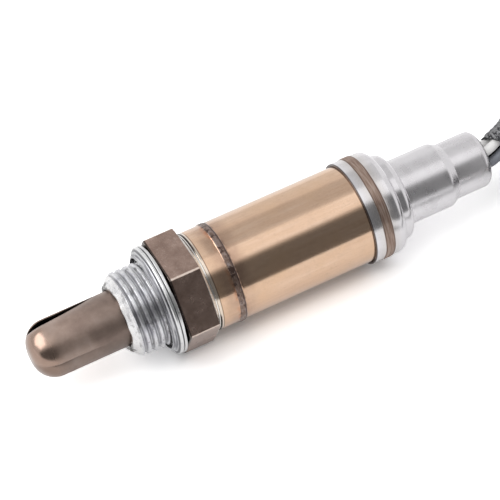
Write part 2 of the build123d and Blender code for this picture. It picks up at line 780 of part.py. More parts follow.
# ---------------------------------------------------------------- connector
plug_heading = Vector(tail_heading.X, tail_heading.Y, 0).normalized()
plug_across = Vector(0, 0, 1).cross(plug_heading)
plug_rear = Vector(tail_end.X, tail_end.Y, floor_z + connector_height / 2) + plug_heading * connector_gap
plug = Plane(origin=plug_rear, x_dir=plug_across, z_dir=plug_heading)
nose_size = (connector_width - 2 * connector_nose_inset, connector_height - 2 * connector_nose_inset)
seal_size = (connector_width - 2 * seal_inset, connector_height - 2 * seal_inset)
lock_size = (nose_size[0] - 2 * lock_inset, nose_size[1] - 2 * lock_inset)
body_length = connector_length - connector_nose_length
terminal_start = seal_thickness + terminal_gap
terminal_side = cavity - 2 * face_gap

with BuildPart() as connector_housing:
    with BuildSketch(plug):
        RectangleRounded(connector_width, connector_height, connector_corner)
    extrude(amount=body_length)
    chamfer(connector_housing.faces().sort_by(Axis(plug.origin, plug.z_dir))[-1].edges(), connector_chamfer)
    with BuildSketch(plug.offset(body_length)):
        RectangleRounded(*nose_size, connector_nose_corner)
    extrude(amount=connector_nose_length)
    # finger ribs on both sides of the body
    for i in range(rib_count):
        with BuildSketch(plug.offset(rib_start + i * rib_pitch)):
            with GridLocations(connector_width, 0, 2, 1):
                Rectangle(rib_width, connector_height - 4 * connector_corner)
        extrude(amount=rib_width)
    # ramp that the mating half snaps over
    with BuildSketch(Plane(origin=plug.origin, x_dir=plug_heading, z_dir=plug_across * -1)):
        with BuildLine():
            top = connector_height / 2
            ramp_front = body_length - ramp_front_gap
            Polyline(
                (ramp_front - ramp_length, top - ramp_root),
                (ramp_front - ramp_length, top + ramp_height),
                (ramp_front, top),
                (ramp_front, top - ramp_root),
                close=True,
            )
        make_face()
    extrude(amount=ramp_width / 2, both=True)
    # seal pocket, wire and terminal cavities, lock pocket
    with BuildSketch(plug):
        RectangleRounded(*seal_size, seal_corner)
    extrude(amount=seal_thickness, mode=Mode.SUBTRACT)
    with BuildSketch(plug.offset(seal_thickness)):
        with GridLocations(connector_pitch, connector_pitch, 2, 2):
            Rectangle(cavity, cavity)
    extrude(amount=connector_length - seal_thickness, mode=Mode.SUBTRACT)
    with BuildSketch(plug.offset(connector_length - lock_thickness)):
        RectangleRounded(*lock_size, lock_corner)
    extrude(amount=lock_thickness, mode=Mode.SUBTRACT)

with BuildPart() as connector_seal:
    with BuildSketch(plug.offset(face_gap)):
        RectangleRounded(seal_size[0] - 2 * face_gap, seal_size[1] - 2 * face_gap, seal_corner - face_gap)
        with GridLocations(connector_pitch, connector_pitch, 2, 2):
            Circle(wire_hole_r, mode=Mode.SUBTRACT)
    extrude(amount=seal_thickness - face_gap)

with BuildPart() as connector_lock:
    with BuildSketch(plug.offset(connector_length - lock_thickness)):
        RectangleRounded(lock_size[0] - 2 * face_gap, lock_size[1] - 2 * face_gap, lock_corner - face_gap)
        with GridLocations(connector_pitch, connector_pitch, 2, 2):
            Rectangle(cavity - 2 * lock_frame, cavity - 2 * lock_frame, mode=Mode.SUBTRACT)
    extrude(amount=lock_thickness + lock_stand)

with BuildPart() as connector_terminals:
    with BuildSketch(plug.offset(terminal_start)):
        with GridLocations(connector_pitch, connector_pitch, 2, 2):
            Rectangle(terminal_side, terminal_side)
    extrude(amount=terminal_length)
    with BuildSketch(plug.offset(terminal_start)):
        with GridLocations(connector_pitch, connector_pitch, 2, 2):
            Circle(wire_hole_r)
    extrude(amount=terminal_grip, mode=Mode.SUBTRACT)
    with BuildSketch(plug.offset(terminal_start + terminal_grip)):
        with GridLocations(connector_pitch, connector_pitch, 2, 2):
            Circle(terminal_bore_d / 2)
    extrude(amount=terminal_length, mode=Mode.SUBTRACT)

# ---------------------------------------------------------------- wires
plug_corners = {"black": (1, 1), "white_a": (-1, 1), "white_b": (-1, -1), "grey": (1, -1)}


def bundled(name, heading):
    """Offset of one wire from the lead's middle line, square to its heading."""
    y, z = radial(bundle_circle_d, wire_angles[name])
    offset_in_section = Vector(0, y, z)
    along = heading * offset_in_section.dot(heading)
    return (offset_in_section - along).normalized() * (bundle_circle_d / 2)


def sensor_stretch(name):
    """Points of one wire from its crimp through the grommet into the woven sleeve."""
    y, z = radial(wire_circle_d, wire_angles[name])
    end = solid_start - lead_heading * (2 * face_gap) + bundled(name, lead_heading)
    return [Vector(wire_start_x, y, z), Vector(cap_end_x + wire_straight, y, z), end]


def plug_stretch(name):
    """Points of one wire from the woven sleeve through the seal into its terminal."""
    column, row = plug_corners[name]
    half = connector_pitch / 2
    hole = plug.origin + plug_across * (column * half) + Vector(0, 0, row * half)
    spread = bundle_circle_d / 2 / math.sqrt(2)
    start = tail_end + plug_across * (column * spread) + Vector(0, 0, row * spread)
    return [
        start + plug_heading * (2 * face_gap),
        start + plug_heading * (connector_gap / 4),
        hole - plug_heading * (connector_gap / 4),
        hole + plug_heading * (terminal_start + terminal_grip - face_gap),
    ]


wires = {}
for name in wire_angles:
    with BuildPart() as wire:
        for stretch in (sensor_stretch(name), plug_stretch(name)):
            with BuildLine():
                FilletPolyline(*stretch, radius=rounded(stretch))
            with BuildSketch(Plane(origin=stretch[0], z_dir=stretch[1] - stretch[0])):
                Circle(wire_d / 2)
            sweep()
    wires[name] = wire

# ---------------------------------------------------------------- export
pieces = {
    "protection_tube": protection_tube,
    "shell": shell,
    "gasket": gasket,
    "sealing_ring": sealing_ring,
    "packing_ring": packing_ring,
    "sensing_element": sensing_element,
    "heater_rod": heater_rod,
    "inner_contact": inner_contact,
    "outer_contact": outer_contact,
    "heater_contacts": heater_contacts,
    "support_insulator": support_insulator,
    "disc_spring": disc_spring,
    "contact_holder": contact_holder,
    "outer_sleeve": outer_sleeve,
    "rear_cap": rear_cap,
    "grommet": grommet,
    "crimp_terminals": crimp_terminals,
    "lead_sleeve": lead_sleeve,
    "lead_coil": lead_coil,
    "lead_tail": lead_tail,
    "coil_tie": coil_tie,
    "connector_housing": connector_housing,
    "connector_seal": connector_seal,
    "connector_lock": connector_lock,
    "connector_terminals": connector_terminals,
}
pieces.update({"wire_" + name: wire for name, wire in wires.items()})
for label, piece in pieces.items():
    piece.part.label = label
    export_step(piece.part, "parts/" + label + ".step")
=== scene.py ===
import math
from types import SimpleNamespace

import bmesh
import bpy
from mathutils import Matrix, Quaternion, Vector


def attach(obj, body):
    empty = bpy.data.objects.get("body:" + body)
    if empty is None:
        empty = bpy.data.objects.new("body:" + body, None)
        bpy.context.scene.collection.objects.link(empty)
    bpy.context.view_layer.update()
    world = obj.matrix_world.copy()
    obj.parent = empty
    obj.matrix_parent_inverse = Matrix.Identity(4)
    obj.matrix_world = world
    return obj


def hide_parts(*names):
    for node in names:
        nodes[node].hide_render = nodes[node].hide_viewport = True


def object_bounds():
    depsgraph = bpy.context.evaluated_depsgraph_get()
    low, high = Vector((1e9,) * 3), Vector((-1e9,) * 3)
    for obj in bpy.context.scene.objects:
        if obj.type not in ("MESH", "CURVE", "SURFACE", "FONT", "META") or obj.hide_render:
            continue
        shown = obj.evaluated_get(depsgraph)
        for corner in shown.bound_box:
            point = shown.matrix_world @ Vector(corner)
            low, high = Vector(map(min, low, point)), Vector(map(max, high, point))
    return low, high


# %% [markdown]
# # A heated oxygen sensor, dressed over its CAD frame
#
# The CAD frame holds every solid at its real size. This script gives the parts that show their finish:
# heat-tinted sheet, turned threads, a folded gasket, ring welds and a woven lead.
# All places are in metres, in the frame's own axes: +X runs from the nose to the lead and +Z is up.

# %% Load the frame
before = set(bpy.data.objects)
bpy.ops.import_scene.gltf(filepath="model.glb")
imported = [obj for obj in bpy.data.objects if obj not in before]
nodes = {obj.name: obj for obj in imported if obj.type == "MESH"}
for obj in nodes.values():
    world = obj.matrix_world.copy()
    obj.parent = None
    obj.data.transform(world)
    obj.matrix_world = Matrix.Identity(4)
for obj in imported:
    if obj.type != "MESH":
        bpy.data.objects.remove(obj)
cad_low, cad_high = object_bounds()
MM = 0.001
print("CAD box in mm:", [round(v / MM, 1) for v in cad_low], [round(v / MM, 1) for v in cad_high])

# %% [markdown]
# ## The camera
#
# A long lens at arm's length keeps the sensor's sides nearly parallel. The camera looks down at the sensor
# from its nose end, and it is rolled a little, so that the axis climbs across the picture.

# %% Camera
camera_aim = Vector((23.7, 1.265, 1.136)) * MM
camera_distance = 420 * MM
towards_camera = Vector((-0.2368, -0.6488, 0.7232)).normalized()
camera_roll = math.radians(-9.2)
camera_data = bpy.data.cameras.new("camera")
camera_data.sensor_width = 36
camera_data.lens = 149.0
camera_data.clip_start, camera_data.clip_end = 0.01, 20
camera = bpy.data.objects.new("camera", camera_data)
bpy.context.collection.objects.link(camera)
camera.location = camera_aim + towards_camera * camera_distance
camera.rotation_mode = "QUATERNION"
camera.rotation_quaternion = (-towards_camera).to_track_quat("-Z", "Y") @ Quaternion((0, 0, 1), camera_roll)
bpy.context.scene.camera = camera
print("camera at", [round(v, 3) for v in camera.location])

# %% [markdown]
# ## Mesh helpers
#
# Most of a sensor is turned or drawn, so one helper spins an outline round the axis and another sweeps a
# ring along a path. Both write plain vertices and faces. A spun piece has its seam merged before its
# normals are set; a swept one keeps marks of length and turn, which a woven finish needs.

# %% Objects and their meshes
seam_gap = 1e-6


def put_in_scene(name, data):
    """New object that holds the data, linked to the scene."""
    made = bpy.data.objects.new(name, data)
    bpy.context.collection.objects.link(made)
    return made


def shade(mesh, sharp_angle):
    """Smooth shading that keeps edges sharp beyond an angle in degrees."""
    mesh.shade_smooth()
    mesh.set_sharp_from_angle(angle=math.radians(sharp_angle))


def make_piece(name, vertices, faces, sharp_angle=32):
    """A smooth-shaded object in the frame's axes, from vertices in metres."""
    mesh = bpy.data.meshes.new(name)
    mesh.from_pydata(vertices, [], faces)
    clean = bmesh.new()
    clean.from_mesh(mesh)
    bmesh.ops.remove_doubles(clean, verts=clean.verts, dist=seam_gap)
    bmesh.ops.recalc_face_normals(clean, faces=clean.faces)
    clean.to_mesh(mesh)
    clean.free()
    shade(mesh, sharp_angle)
    return put_in_scene(name, mesh)


def join_pieces(name, pieces, material):
    """One object of one finish from several, kept at the origin."""
    merged = bmesh.new()
    for piece in pieces:
        merged.from_mesh(piece.data)
    mesh = bpy.data.meshes.new(name)
    merged.to_mesh(mesh)
    merged.free()
    mesh.materials.append(material)
    for polygon in mesh.polygons:
        polygon.material_index = 0
    for piece in pieces:
        bpy.data.objects.remove(piece)
    return put_in_scene(name, mesh)


def bake_modifiers(piece, sharp_angle):
    """Turns a piece's modifiers into plain mesh."""
    bpy.context.view_layer.update()
    mesh = bpy.data.meshes.new_from_object(piece.evaluated_get(bpy.context.evaluated_depsgraph_get()))
    piece.modifiers.clear()
    piece.data = mesh
    shade(mesh, sharp_angle)
    return piece


def settle(piece, *nodes):
    """The piece stands for these frame nodes, which it hides, and rides on the one body."""
    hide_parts(*nodes)
    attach(piece, "root")
    return piece


# %% Rows and columns of vertices


def on_ring(x, r, angle):
    """Place in metres at x and radius r in mm, at an angle in radians from +Y towards +Z."""
    return Vector((x, r * math.cos(angle), r * math.sin(angle))) * MM


def grid_faces(rows, columns, wrap_rows=False):
    """Quads between neighbouring rows and columns of a grid of vertices whose columns close to a ring."""
    faces = []
    for i in range(rows if wrap_rows else rows - 1):
        for j in range(columns):
            a, b = i * columns, (i + 1) % rows * columns
            k = (j + 1) % columns
            faces.append((a + j, a + k, b + k, b + j))
    return faces


# %% Outlines with rounded corners


def bend(corners, steps):
    """Outline through (x, r, radius) corners in mm, each rounded by an arc of its radius."""
    outline = []
    for i, (x, r, radius) in enumerate(corners):
        corner = Vector((x, r))
        if radius <= 0:
            outline.append(corner)
            continue
        before = (Vector(corners[i - 1][:2]) - corner).normalized()
        after = (Vector(corners[(i + 1) % len(corners)][:2]) - corner).normalized()
        half = before.angle(after) / 2
        centre = corner + (before + after).normalized() * (radius / math.sin(half))
        first = corner + before * (radius / math.tan(half)) - centre
        last = corner + after * (radius / math.tan(half)) - centre
        opening = first.angle(last)
        for k in range(steps + 1):
            t = k / steps
            arm = first * math.sin((1 - t) * opening) + last * math.sin(t * opening)
            outline.append(centre + arm / math.sin(opening))
    return outline


def steps_between(first, last, count):
    """Even steps in (x, r) mm from one place to another, with both ends."""
    return [tuple(a + (b - a) * k / count for a, b in zip(first, last)) for k in range(count + 1)]


def spin(name, outline, columns=192, swell=None):
    """Closed outline in (x, r) mm, spun round the sensor's axis."""
    vertices = []
    for x, r in outline:
        for j in range(columns):
            angle = 2 * math.pi * j / columns
            vertices.append(on_ring(x, r + (swell(x, r, angle) if swell else 0), angle))
    return make_piece(name, vertices, grid_faces(len(outline), columns, wrap_rows=True))


# %% Sweeps along a path


def ring_frames(path):
    """Heading and two directions square to it at each point of a path, without twist."""
    headings = []
    for i in range(len(path)):
        before, after = path[max(i - 1, 0)], path[min(i + 1, len(path) - 1)]
        headings.append((after - before).normalized())
    side = headings[0].cross(Vector((0, 0, 1))).normalized()
    frames = []
    for heading in headings:
        side = (side - heading * side.dot(heading)).normalized()
        frames.append((heading, side, heading.cross(side)))
    return frames


def sweep(name, line, length, columns, radius_at, stations=None):
    """Closed skin round a line of points in metres, marked with its length and turn as UV.

    Stations are (index of a point, inset in metres); radius_at takes the distance, the angle and the inset.
    """
    frames = ring_frames(line)
    stations = stations or [(i, 0.0) for i in range(len(line))]
    vertices, marks = [], []
    for i, inset in stations:
        distance = length * i / (len(line) - 1)
        heading, side, up = frames[i]
        for j in range(columns):
            angle = 2 * math.pi * j / columns
            radius = radius_at(distance, angle, inset)
            vertices.append(line[i] + (side * math.cos(angle) + up * math.sin(angle)) * radius)
            marks.append((distance, j / columns))
    faces = grid_faces(len(stations), columns)
    faces.append(tuple(range(columns))[::-1])
    faces.append(tuple(range((len(stations) - 1) * columns, len(stations) * columns)))
    mesh = bpy.data.meshes.new(name)
    mesh.from_pydata(vertices, [], faces)
    length_and_turn = mesh.uv_layers.new(name="length_and_turn")
    for polygon in mesh.polygons:
        wraps = {marks[v][1] for v in polygon.vertices} == {0.0, (columns - 1) / columns}
        for loop, vertex in zip(polygon.loop_indices, polygon.vertices):
            distance, turn = marks[vertex]
            length_and_turn.data[loop].uv = (distance, 1.0 if wraps and turn == 0 else turn)
    mesh.shade_smooth()
    return put_in_scene(name, mesh)


# %% [markdown]
# ## The lead's path
#
# The woven lead is about 0.37 m long. It leaves the cap in a gentle bend, lies down, goes twice round a
# coil, 64 mm across in its middle line, and ends at its plug. The part that isn't needed is put away there.
# The middle line is one smooth NURBS curve, and everything on the lead follows points read from it.

# %% Route of the lead
lead_d = 6.0 * MM
lead_exit_route = [(81.5, -0.2, -0.35), (90.7, 5.0, 2.4)]
lead_tail_route = [(109.5, -41.2, -3.5), (98.0, -40.6, -4.45)]
coil_centre = (121.2, -8.5)
coil_middle_r = 32.0
coil_low_z, coil_high_z = -7.7, -1.7
coil_first_angle = 139.0
coil_last_angle = -450.0
coil_step = 30.0
climb_start, climb_end = -120.0, -225.0

# control points of a ring lie outside it
coil_corner_r = coil_middle_r / math.cos(math.radians(coil_step / 2))
coil_route = []
angle = coil_first_angle - coil_step / 2
while angle > coil_last_angle + coil_step / 4:
    climb = min(max((climb_start - angle) / (climb_start - climb_end), 0), 1)
    x = coil_centre[0] + coil_corner_r * math.cos(math.radians(angle))
    y = coil_centre[1] + coil_corner_r * math.sin(math.radians(angle))
    coil_route.append((x, y, coil_low_z + (coil_high_z - coil_low_z) * climb))
    angle -= coil_step
lead_route = lead_exit_route + coil_route + lead_tail_route
print("points on the lead's route:", len(lead_route))

# %% Smooth curve through the route
def smooth_path(route_mm):
    """Points in metres along one open NURBS spline with the route's points as its control points."""
    curve = bpy.data.curves.new("line", "CURVE")
    curve.dimensions = "3D"
    spline = curve.splines.new("NURBS")
    spline.points.add(len(route_mm) - 1)
    for point, place in zip(spline.points, route_mm):
        point.co = (*(Vector(place) * MM), 1)
    spline.order_u = 3
    spline.use_endpoint_u = True
    spline.resolution_u = 12
    holder = put_in_scene("line", curve)
    bpy.context.view_layer.update()
    line = bpy.data.meshes.new_from_object(holder)
    points = [vertex.co.copy() for vertex in line.vertices]
    bpy.data.meshes.remove(line)
    bpy.data.objects.remove(holder)
    bpy.data.curves.remove(curve)
    return points


def path_length(points):
    return sum((b - a).length for a, b in zip(points, points[1:]))


lead_path = smooth_path(lead_route)
lead_length = path_length(lead_path)
print("lead length in m:", round(lead_length, 4), "from", lead_path[0], "to", lead_path[-1])

# %% [markdown]
# ## Finishes
#
# Every finish is a small node tree on the object's own coordinates. Short helpers add a node, a sum or a
# colour ramp, so each finish reads like a recipe: a colour that varies, a roughness that varies, a fine bump.

# %% Sums on nodes


def sign(operation, swapped=False):
    """Method that adds one Math node, with its two numbers swapped where the value stands last."""
    if swapped:
        return lambda value, other: calc(operation, other, value)
    return lambda *numbers: calc(operation, *numbers)


class Value:
    """A node's output that is reckoned with like a number: each sign adds one Math node."""

    def __init__(self, socket):
        self.socket, self.tree = socket, socket.id_data

    __add__, __sub__, __rsub__ = sign("ADD"), sign("SUBTRACT"), sign("SUBTRACT", swapped=True)
    __mul__, __truediv__, __mod__ = sign("MULTIPLY"), sign("DIVIDE"), sign("MODULO")
    __pow__, __abs__ = sign("POWER"), sign("ABSOLUTE")


def connect(value, socket):
    """Links a value or an output to a socket, or writes a plain number, vector or colour into it."""
    if isinstance(value, Value):
        value = value.socket
    if isinstance(value, bpy.types.NodeSocket):
        socket.id_data.links.new(value, socket)
    elif socket.type == "RGBA" and len(value) == 3:
        socket.default_value = (*value, 1)
    else:
        socket.default_value = value


def add_node(tree, kind, settings=None, **inputs):
    """One node, with its inputs given by name."""
    node = tree.nodes.new(kind)
    for key, value in (settings or {}).items():
        setattr(node, key, value)
    for key, value in inputs.items():
        connect(value, node.inputs[key.replace("_", " ")])
    return node


def values(node):
    """A node's outputs by name."""
    return {socket.name: Value(socket) for socket in node.outputs}


def calc(operation, *numbers, clamp=False):
    """Result of a Math node on values and plain numbers."""
    tree = next(number.tree for number in numbers if isinstance(number, Value))
    node = add_node(tree, "ShaderNodeMath", {"operation": operation, "use_clamp": clamp})
    for number, socket in zip(numbers, node.inputs):
        connect(number, socket)
    return Value(node.outputs[0])


def span(value, low, high):
    """0 up to low, 1 from high on, and a soft step between; it falls where high is the smaller one."""
    settings = {"interpolation_type": "SMOOTHSTEP"}
    node = add_node(value.tree, "ShaderNodeMapRange", settings, Value=value, From_Min=low, From_Max=high)
    return Value(node.outputs[0])


# %% Colours, patterns and bumps


def ramp(value, stops):
    """Colour that goes through (place, colour) stops."""
    node = add_node(value.tree, "ShaderNodeValToRGB", Fac=value)
    elements = node.color_ramp.elements
    while len(elements) < len(stops):
        elements.new(0.5)
    for element, (place, colour) in zip(elements, stops):
        element.position = place
        element.color = (*colour, 1)
    return Value(node.outputs["Color"])


def mix(share, first, second):
    """Colour between two colours, by a share from 0 to 1."""
    node = add_node(share.tree, "ShaderNodeMix", {"data_type": "RGBA"})
    for value, socket in ((share, node.inputs[0]), (first, node.inputs[6]), (second, node.inputs[7])):
        connect(value, socket)
    return Value(node.outputs[2])


def noise(where, scale, detail, roughness=0.55):
    """Noise from 0 to 1 over some coordinates, where scale is patches per metre."""
    node = add_node(
        where.tree, "ShaderNodeTexNoise", Vector=where, Scale=scale, Detail=detail, Roughness=roughness
    )
    return Value(node.outputs[0])


def streaks(where, along, across, detail, roughness=0.55):
    """Noise with its own number of patches per metre along the sensor's axis and across it."""
    node = add_node(where.tree, "ShaderNodeMapping", Vector=where, Scale=(along, across, across))
    return noise(Value(node.outputs[0]), 1.0, detail, roughness)


def wander(where, scale, detail, width):
    """Slow shift to both sides, a width in all."""
    return (noise(where, scale, detail) - 0.5) * width


def raised(height, strength, depth, below=None):
    """Normal bent by a height from 0 to 1 that stands for a depth in mm, over another normal."""
    node = add_node(height.tree, "ShaderNodeBump", Height=height, Strength=strength, Distance=depth * MM)
    if below is not None:
        connect(below, node.inputs["Normal"])
    return Value(node.outputs[0])


# %% A fresh finish


def new_finish(name):
    """Material and its coordinates: where in metres, along, side and reach in mm, and turn in radians."""
    material = bpy.data.materials.new(name)
    material.use_nodes = True
    where = Value(material.node_tree.nodes.new("ShaderNodeTexCoord").outputs["Object"])
    x, y, z = values(add_node(where.tree, "ShaderNodeSeparateXYZ", Vector=where)).values()
    reach = calc("SQRT", y * y + z * z)
    turn = calc("ARCTAN2", z, y)
    return material, SimpleNamespace(where=where, along=x / MM, side=y / MM, turn=turn, reach=reach / MM)


def set_finish(material, colour, roughness, metallic=0.0, normal=None, **others):
    """Fills the inputs of the material's shader."""
    shader = material.node_tree.nodes["Principled BSDF"]
    inputs = {"Base Color": colour, "Roughness": roughness, "Metallic": metallic, "Normal": normal}
    inputs.update((key.replace("_", " "), value) for key, value in others.items())
    for key, value in inputs.items():
        if value is not None:
            connect(value, shader.inputs[key])
    return material


def wear(piece, material):
    """Gives a piece or a frame node its one material."""
    piece.data.materials.clear()
    piece.data.materials.append(material)
    return piece


# %% [markdown]
# ### Metals
#
# Steel near the exhaust scales to a brown grey. The outer sleeve keeps a bronze temper colour with streaks
# along it, and the drawn cap stays bright. The difference is colour, gloss and the kind of fine mark.

# %% Where the welds run, and where shade is painted
front_weld_x, rear_weld_x = 16.1, 49.4


def shaded_sides(turn):
    """Two sides of a ring, and a strip right below it, where shade is painted."""
    sides = span(calc("COSINE", turn * 2.0 - 2.44), 0.3, 0.65)
    strip = span(calc("COSINE", turn - 3.45), 0.93, 0.97)
    return calc("MAXIMUM", sides, strip)


# %% Scaled steel of the protection tube
def scaled_steel():
    material, at = new_finish("scaled_steel")
    cloud = noise(at.where, 260, 5)
    grain = noise(at.where, 3000, 4)
    colour = ramp(
        cloud, [(0.3, (0.325, 0.236, 0.198)), (0.52, (0.43, 0.321, 0.269)), (0.72, (0.52, 0.407, 0.354))]
    )
    fleck = span(grain, 0.6, 0.74)
    colour = mix(fleck * 0.3, colour, (0.5, 0.43, 0.38))
    # the dome is rubbed smooth, and it is a little redder than the side
    dome = span(at.along, -19.6, -23.2)
    colour = mix(dome * 0.6, colour, (0.36, 0.235, 0.175))
    # darker towards the shell, and painted shade on the underside; clean is the share of colour that is left
    aft = 1.0 - span(at.along, -18.0, -9.0) * 0.27
    low = span(calc("COSINE", at.turn - 3.49), 0.8, 0.95)
    clean = aft * (1.0 - low * 0.28)
    colour = mix(clean, (0, 0, 0), colour)
    roughness = cloud * 0.16 + 0.46 - dome * 0.34
    normal = raised(grain, 0.3, 0.02, raised(cloud, 0.25, 0.1))
    return set_finish(material, colour, roughness, 1.0, normal, Coat_Weight=0.5, Coat_Roughness=0.35)


# %% Turned steel of the shell
def turned_steel():
    material, at = new_finish("turned_steel")
    hexagon = span(at.along, 3.1, 3.3)
    # the thread is plated: bluish silver, with dark stains and fine turning marks
    ring_marks = streaks(at.where, 9000, 260, 3)
    cloud = noise(at.where, 420, 5)
    bright = ramp(cloud, [(0.3, (0.5, 0.5, 0.54)), (0.46, (0.72, 0.72, 0.75)), (0.66, (0.88, 0.88, 0.89))])
    stain = streaks(at.where, 1300, 420, 5, 0.65)
    bright = mix(span(stain, 0.55, 0.68) * 0.75, bright, (0.13, 0.125, 0.13))
    # painted shade in the thread's roots, between the crests
    groove = span(at.reach, 8.8, 8.45) * span(at.along, 0.9, 0.5) * span(at.along, -5.6, -5.2)
    bright = mix(groove * 0.45, bright, (0.17, 0.17, 0.19))
    cone = span(at.along, -5.0, -5.6)
    patchy = span(stain, 0.6, 0.42) * 0.45 + 0.35
    bright = mix(cone * patchy, bright, (0.95, 0.94, 0.93))
    # darker in patches where the lip turns in to the tube, and painted shade on two sides of the mouth, in the
    # gap round the tube
    sides = calc("COSINE", at.turn * 2.0 - 1.466)
    mouth_patches_and_shade = span(at.reach, 7.35, 6.85) * span(stain, 0.42, 0.52)
    mouth_side_shade = span(at.reach, 7.9, 7.4) * span(stain, 0.36, 0.5)
    mouth_patches_and_shade = calc("MAXIMUM", mouth_patches_and_shade, mouth_side_shade * span(sides, 0.72, 0.9))
    bright = mix(mouth_patches_and_shade * 0.92, bright, (0.03, 0.026, 0.024))
    # the hexagon is dull brown, scuffed along its corners, with a bright turned bevel at the back
    brown = ramp(cloud, [(0.3, (0.35, 0.24, 0.198)), (0.5, (0.45, 0.32, 0.268)), (0.7, (0.56, 0.41, 0.35))])
    mottle = span(noise(at.where, 1500, 3), 0.38, 0.62)
    brown = mix(mottle * 0.35, brown, (0.33, 0.225, 0.185))
    sixth = calc("FRACT", at.turn * (3 / math.pi) + 6.0)
    off_flat = abs(sixth - 0.5) * 60.0
    corner = span(off_flat + wander(at.where, 1800, 3, 1.6), 28.9, 29.5)
    brown = mix(corner * 0.8, brown, (0.74, 0.64, 0.57))
    bevel = span(at.along, 9.98, 10.1)
    brown = mix(bevel * 0.92, brown, (0.93, 0.9, 0.86))
    # painted shade on the hexagon's front face against the gasket, and on two sides of the gap behind it
    front_face = span(at.along, 3.8, 3.7)
    gap_shade = span(at.along, 10.96, 11.01) * shaded_sides(at.turn)
    in_gap = calc("MAXIMUM", front_face, gap_shade)
    brown = mix(in_gap * 0.9, brown, (0.05, 0.04, 0.035))
    colour = mix(hexagon, bright, brown)
    speck = noise(at.where, 4200, 3)
    colour = mix(span(speck, 0.56, 0.7) * 0.36, colour, (0.75, 0.66, 0.6))
    plated = cloud * 0.2 + 0.23 - cone * 0.1
    dull = cloud * 0.1 + 0.21 - bevel * 0.08
    roughness = plated + (dull - plated) * hexagon
    normal = raised(speck, 0.25, 0.015, raised(ring_marks, 0.3, 0.03))
    return set_finish(material, colour, roughness, 1.0, normal)


# %% Bright strip of the gasket
def bright_strip():
    material, at = new_finish("bright_strip")
    cloud = noise(at.where, 500, 4)
    streak = streaks(at.where, 5200, 240, 4)
    rim = ramp(cloud, [(0.3, (0.7, 0.7, 0.71)), (0.6, (0.86, 0.86, 0.86))])
    fold = ramp(streak, [(0.36, (0.2, 0.2, 0.22)), (0.5, (0.46, 0.46, 0.48)), (0.64, (0.7, 0.7, 0.71))])
    colour = mix(span(at.along, 1.55, 1.72), fold, rim)
    # painted shade in the two creases of the fold
    for line in (1.50, 2.38):
        crease = span(abs(at.along - line), 0.15, 0.05)
        colour = mix(crease * 0.8, colour, (0.1, 0.1, 0.11))
    roughness = cloud * 0.14 + 0.22
    return set_finish(material, colour, roughness, 1.0, raised(streak, 0.3, 0.04))


# %% Bronze sleeve
def bronze_sheet():
    material, at = new_finish("bronze_sheet")
    streak = streaks(at.where, 60, 900, 4)
    cloud = noise(at.where, 120, 4)
    colour = ramp(streak, [(0.3, (0.74, 0.5, 0.345)), (0.55, (0.8, 0.56, 0.4)), (0.75, (0.84, 0.61, 0.455))])
    colour = mix(span(cloud, 0.42, 0.75), colour, (0.77, 0.52, 0.345))
    # temper colours beside the front weld: brown on both sides, orange and red close in front of it
    away = at.along + wander(at.where, 330, 3, 1.1) - front_weld_x
    warm_patch = span(noise(at.where, 210, 3), 0.36, 0.62)
    warmth = span(abs(away), 4.6, 0.9) * (warm_patch * 0.55 + 0.4)
    colour = mix(warmth, colour, (0.5, 0.325, 0.235))
    in_front = span(away, 0.9, -0.9) * 0.45 + 0.08
    halo = span(abs(away), 1.7, 0.7) * in_front * span(noise(at.where, 300, 2), 0.4, 0.55)
    colour = mix(halo, colour, (0.6, 0.2, 0.07))
    # handling leaves fine dark specks and dull blotches
    blotch = span(noise(at.where, 520, 5, 0.65), 0.46, 0.66)
    pepper = span(noise(at.where, 3600, 3), 0.5, 0.68)
    dulled = pepper * 0.13 + blotch * 0.08
    colour = mix(dulled, colour, (0.36, 0.22, 0.155))
    # the weld itself, with a darker line at its back
    on_weld = at.along + wander(at.where, 150, 2, 0.5) - front_weld_x
    weld = span(abs(on_weld), 0.8, 0.62)
    ripple = streaks(at.where, 2600, 900, 4)
    weld_colour = ramp(
        ripple, [(0.3, (0.17, 0.11, 0.085)), (0.5, (0.27, 0.19, 0.155)), (0.7, (0.38, 0.32, 0.31))]
    )
    back = span(abs(on_weld - 0.55), 0.26, 0.08)
    weld_colour = mix(back * 0.75, weld_colour, (0.07, 0.045, 0.04))
    burnt = span(noise(at.where, 900, 4, 0.65), 0.5, 0.6) * span(abs(on_weld), 1.3, 0.5)
    weld_colour = mix(burnt, weld_colour, (0.09, 0.055, 0.045))
    colour = mix(burnt * 0.7, colour, (0.16, 0.09, 0.065))
    colour = mix(weld, colour, weld_colour)
    # painted shade as a dark line in the groove where the rolled front edge meets the sheet, and a bright
    # rubbed edge before it
    edge = span(abs(at.along - 11.75), 0.14, 0.05)
    colour = mix(edge * 0.7, colour, (0.16, 0.09, 0.06))
    lip = span(at.along, 11.7, 11.6)
    colour = mix(lip * 0.8, colour, (0.86, 0.78, 0.68))
    # painted shade on two sides of the sleeve's front, in the gap behind the hexagon
    lip_gap_shade = span(at.along, 11.38, 11.28) * shaded_sides(at.turn)
    colour = mix(lip_gap_shade, colour, (0.05, 0.035, 0.03))
    fine = streaks(at.where, 500, 4200, 3)
    roughness = weld * 0.26 + cloud * 0.08 + 0.1
    normal = raised(ripple * weld, 0.5, 0.08, raised(fine, 0.18, 0.02))
    return set_finish(material, colour, roughness, 1.0, normal, Coat_Weight=0.35, Coat_Roughness=0.15)


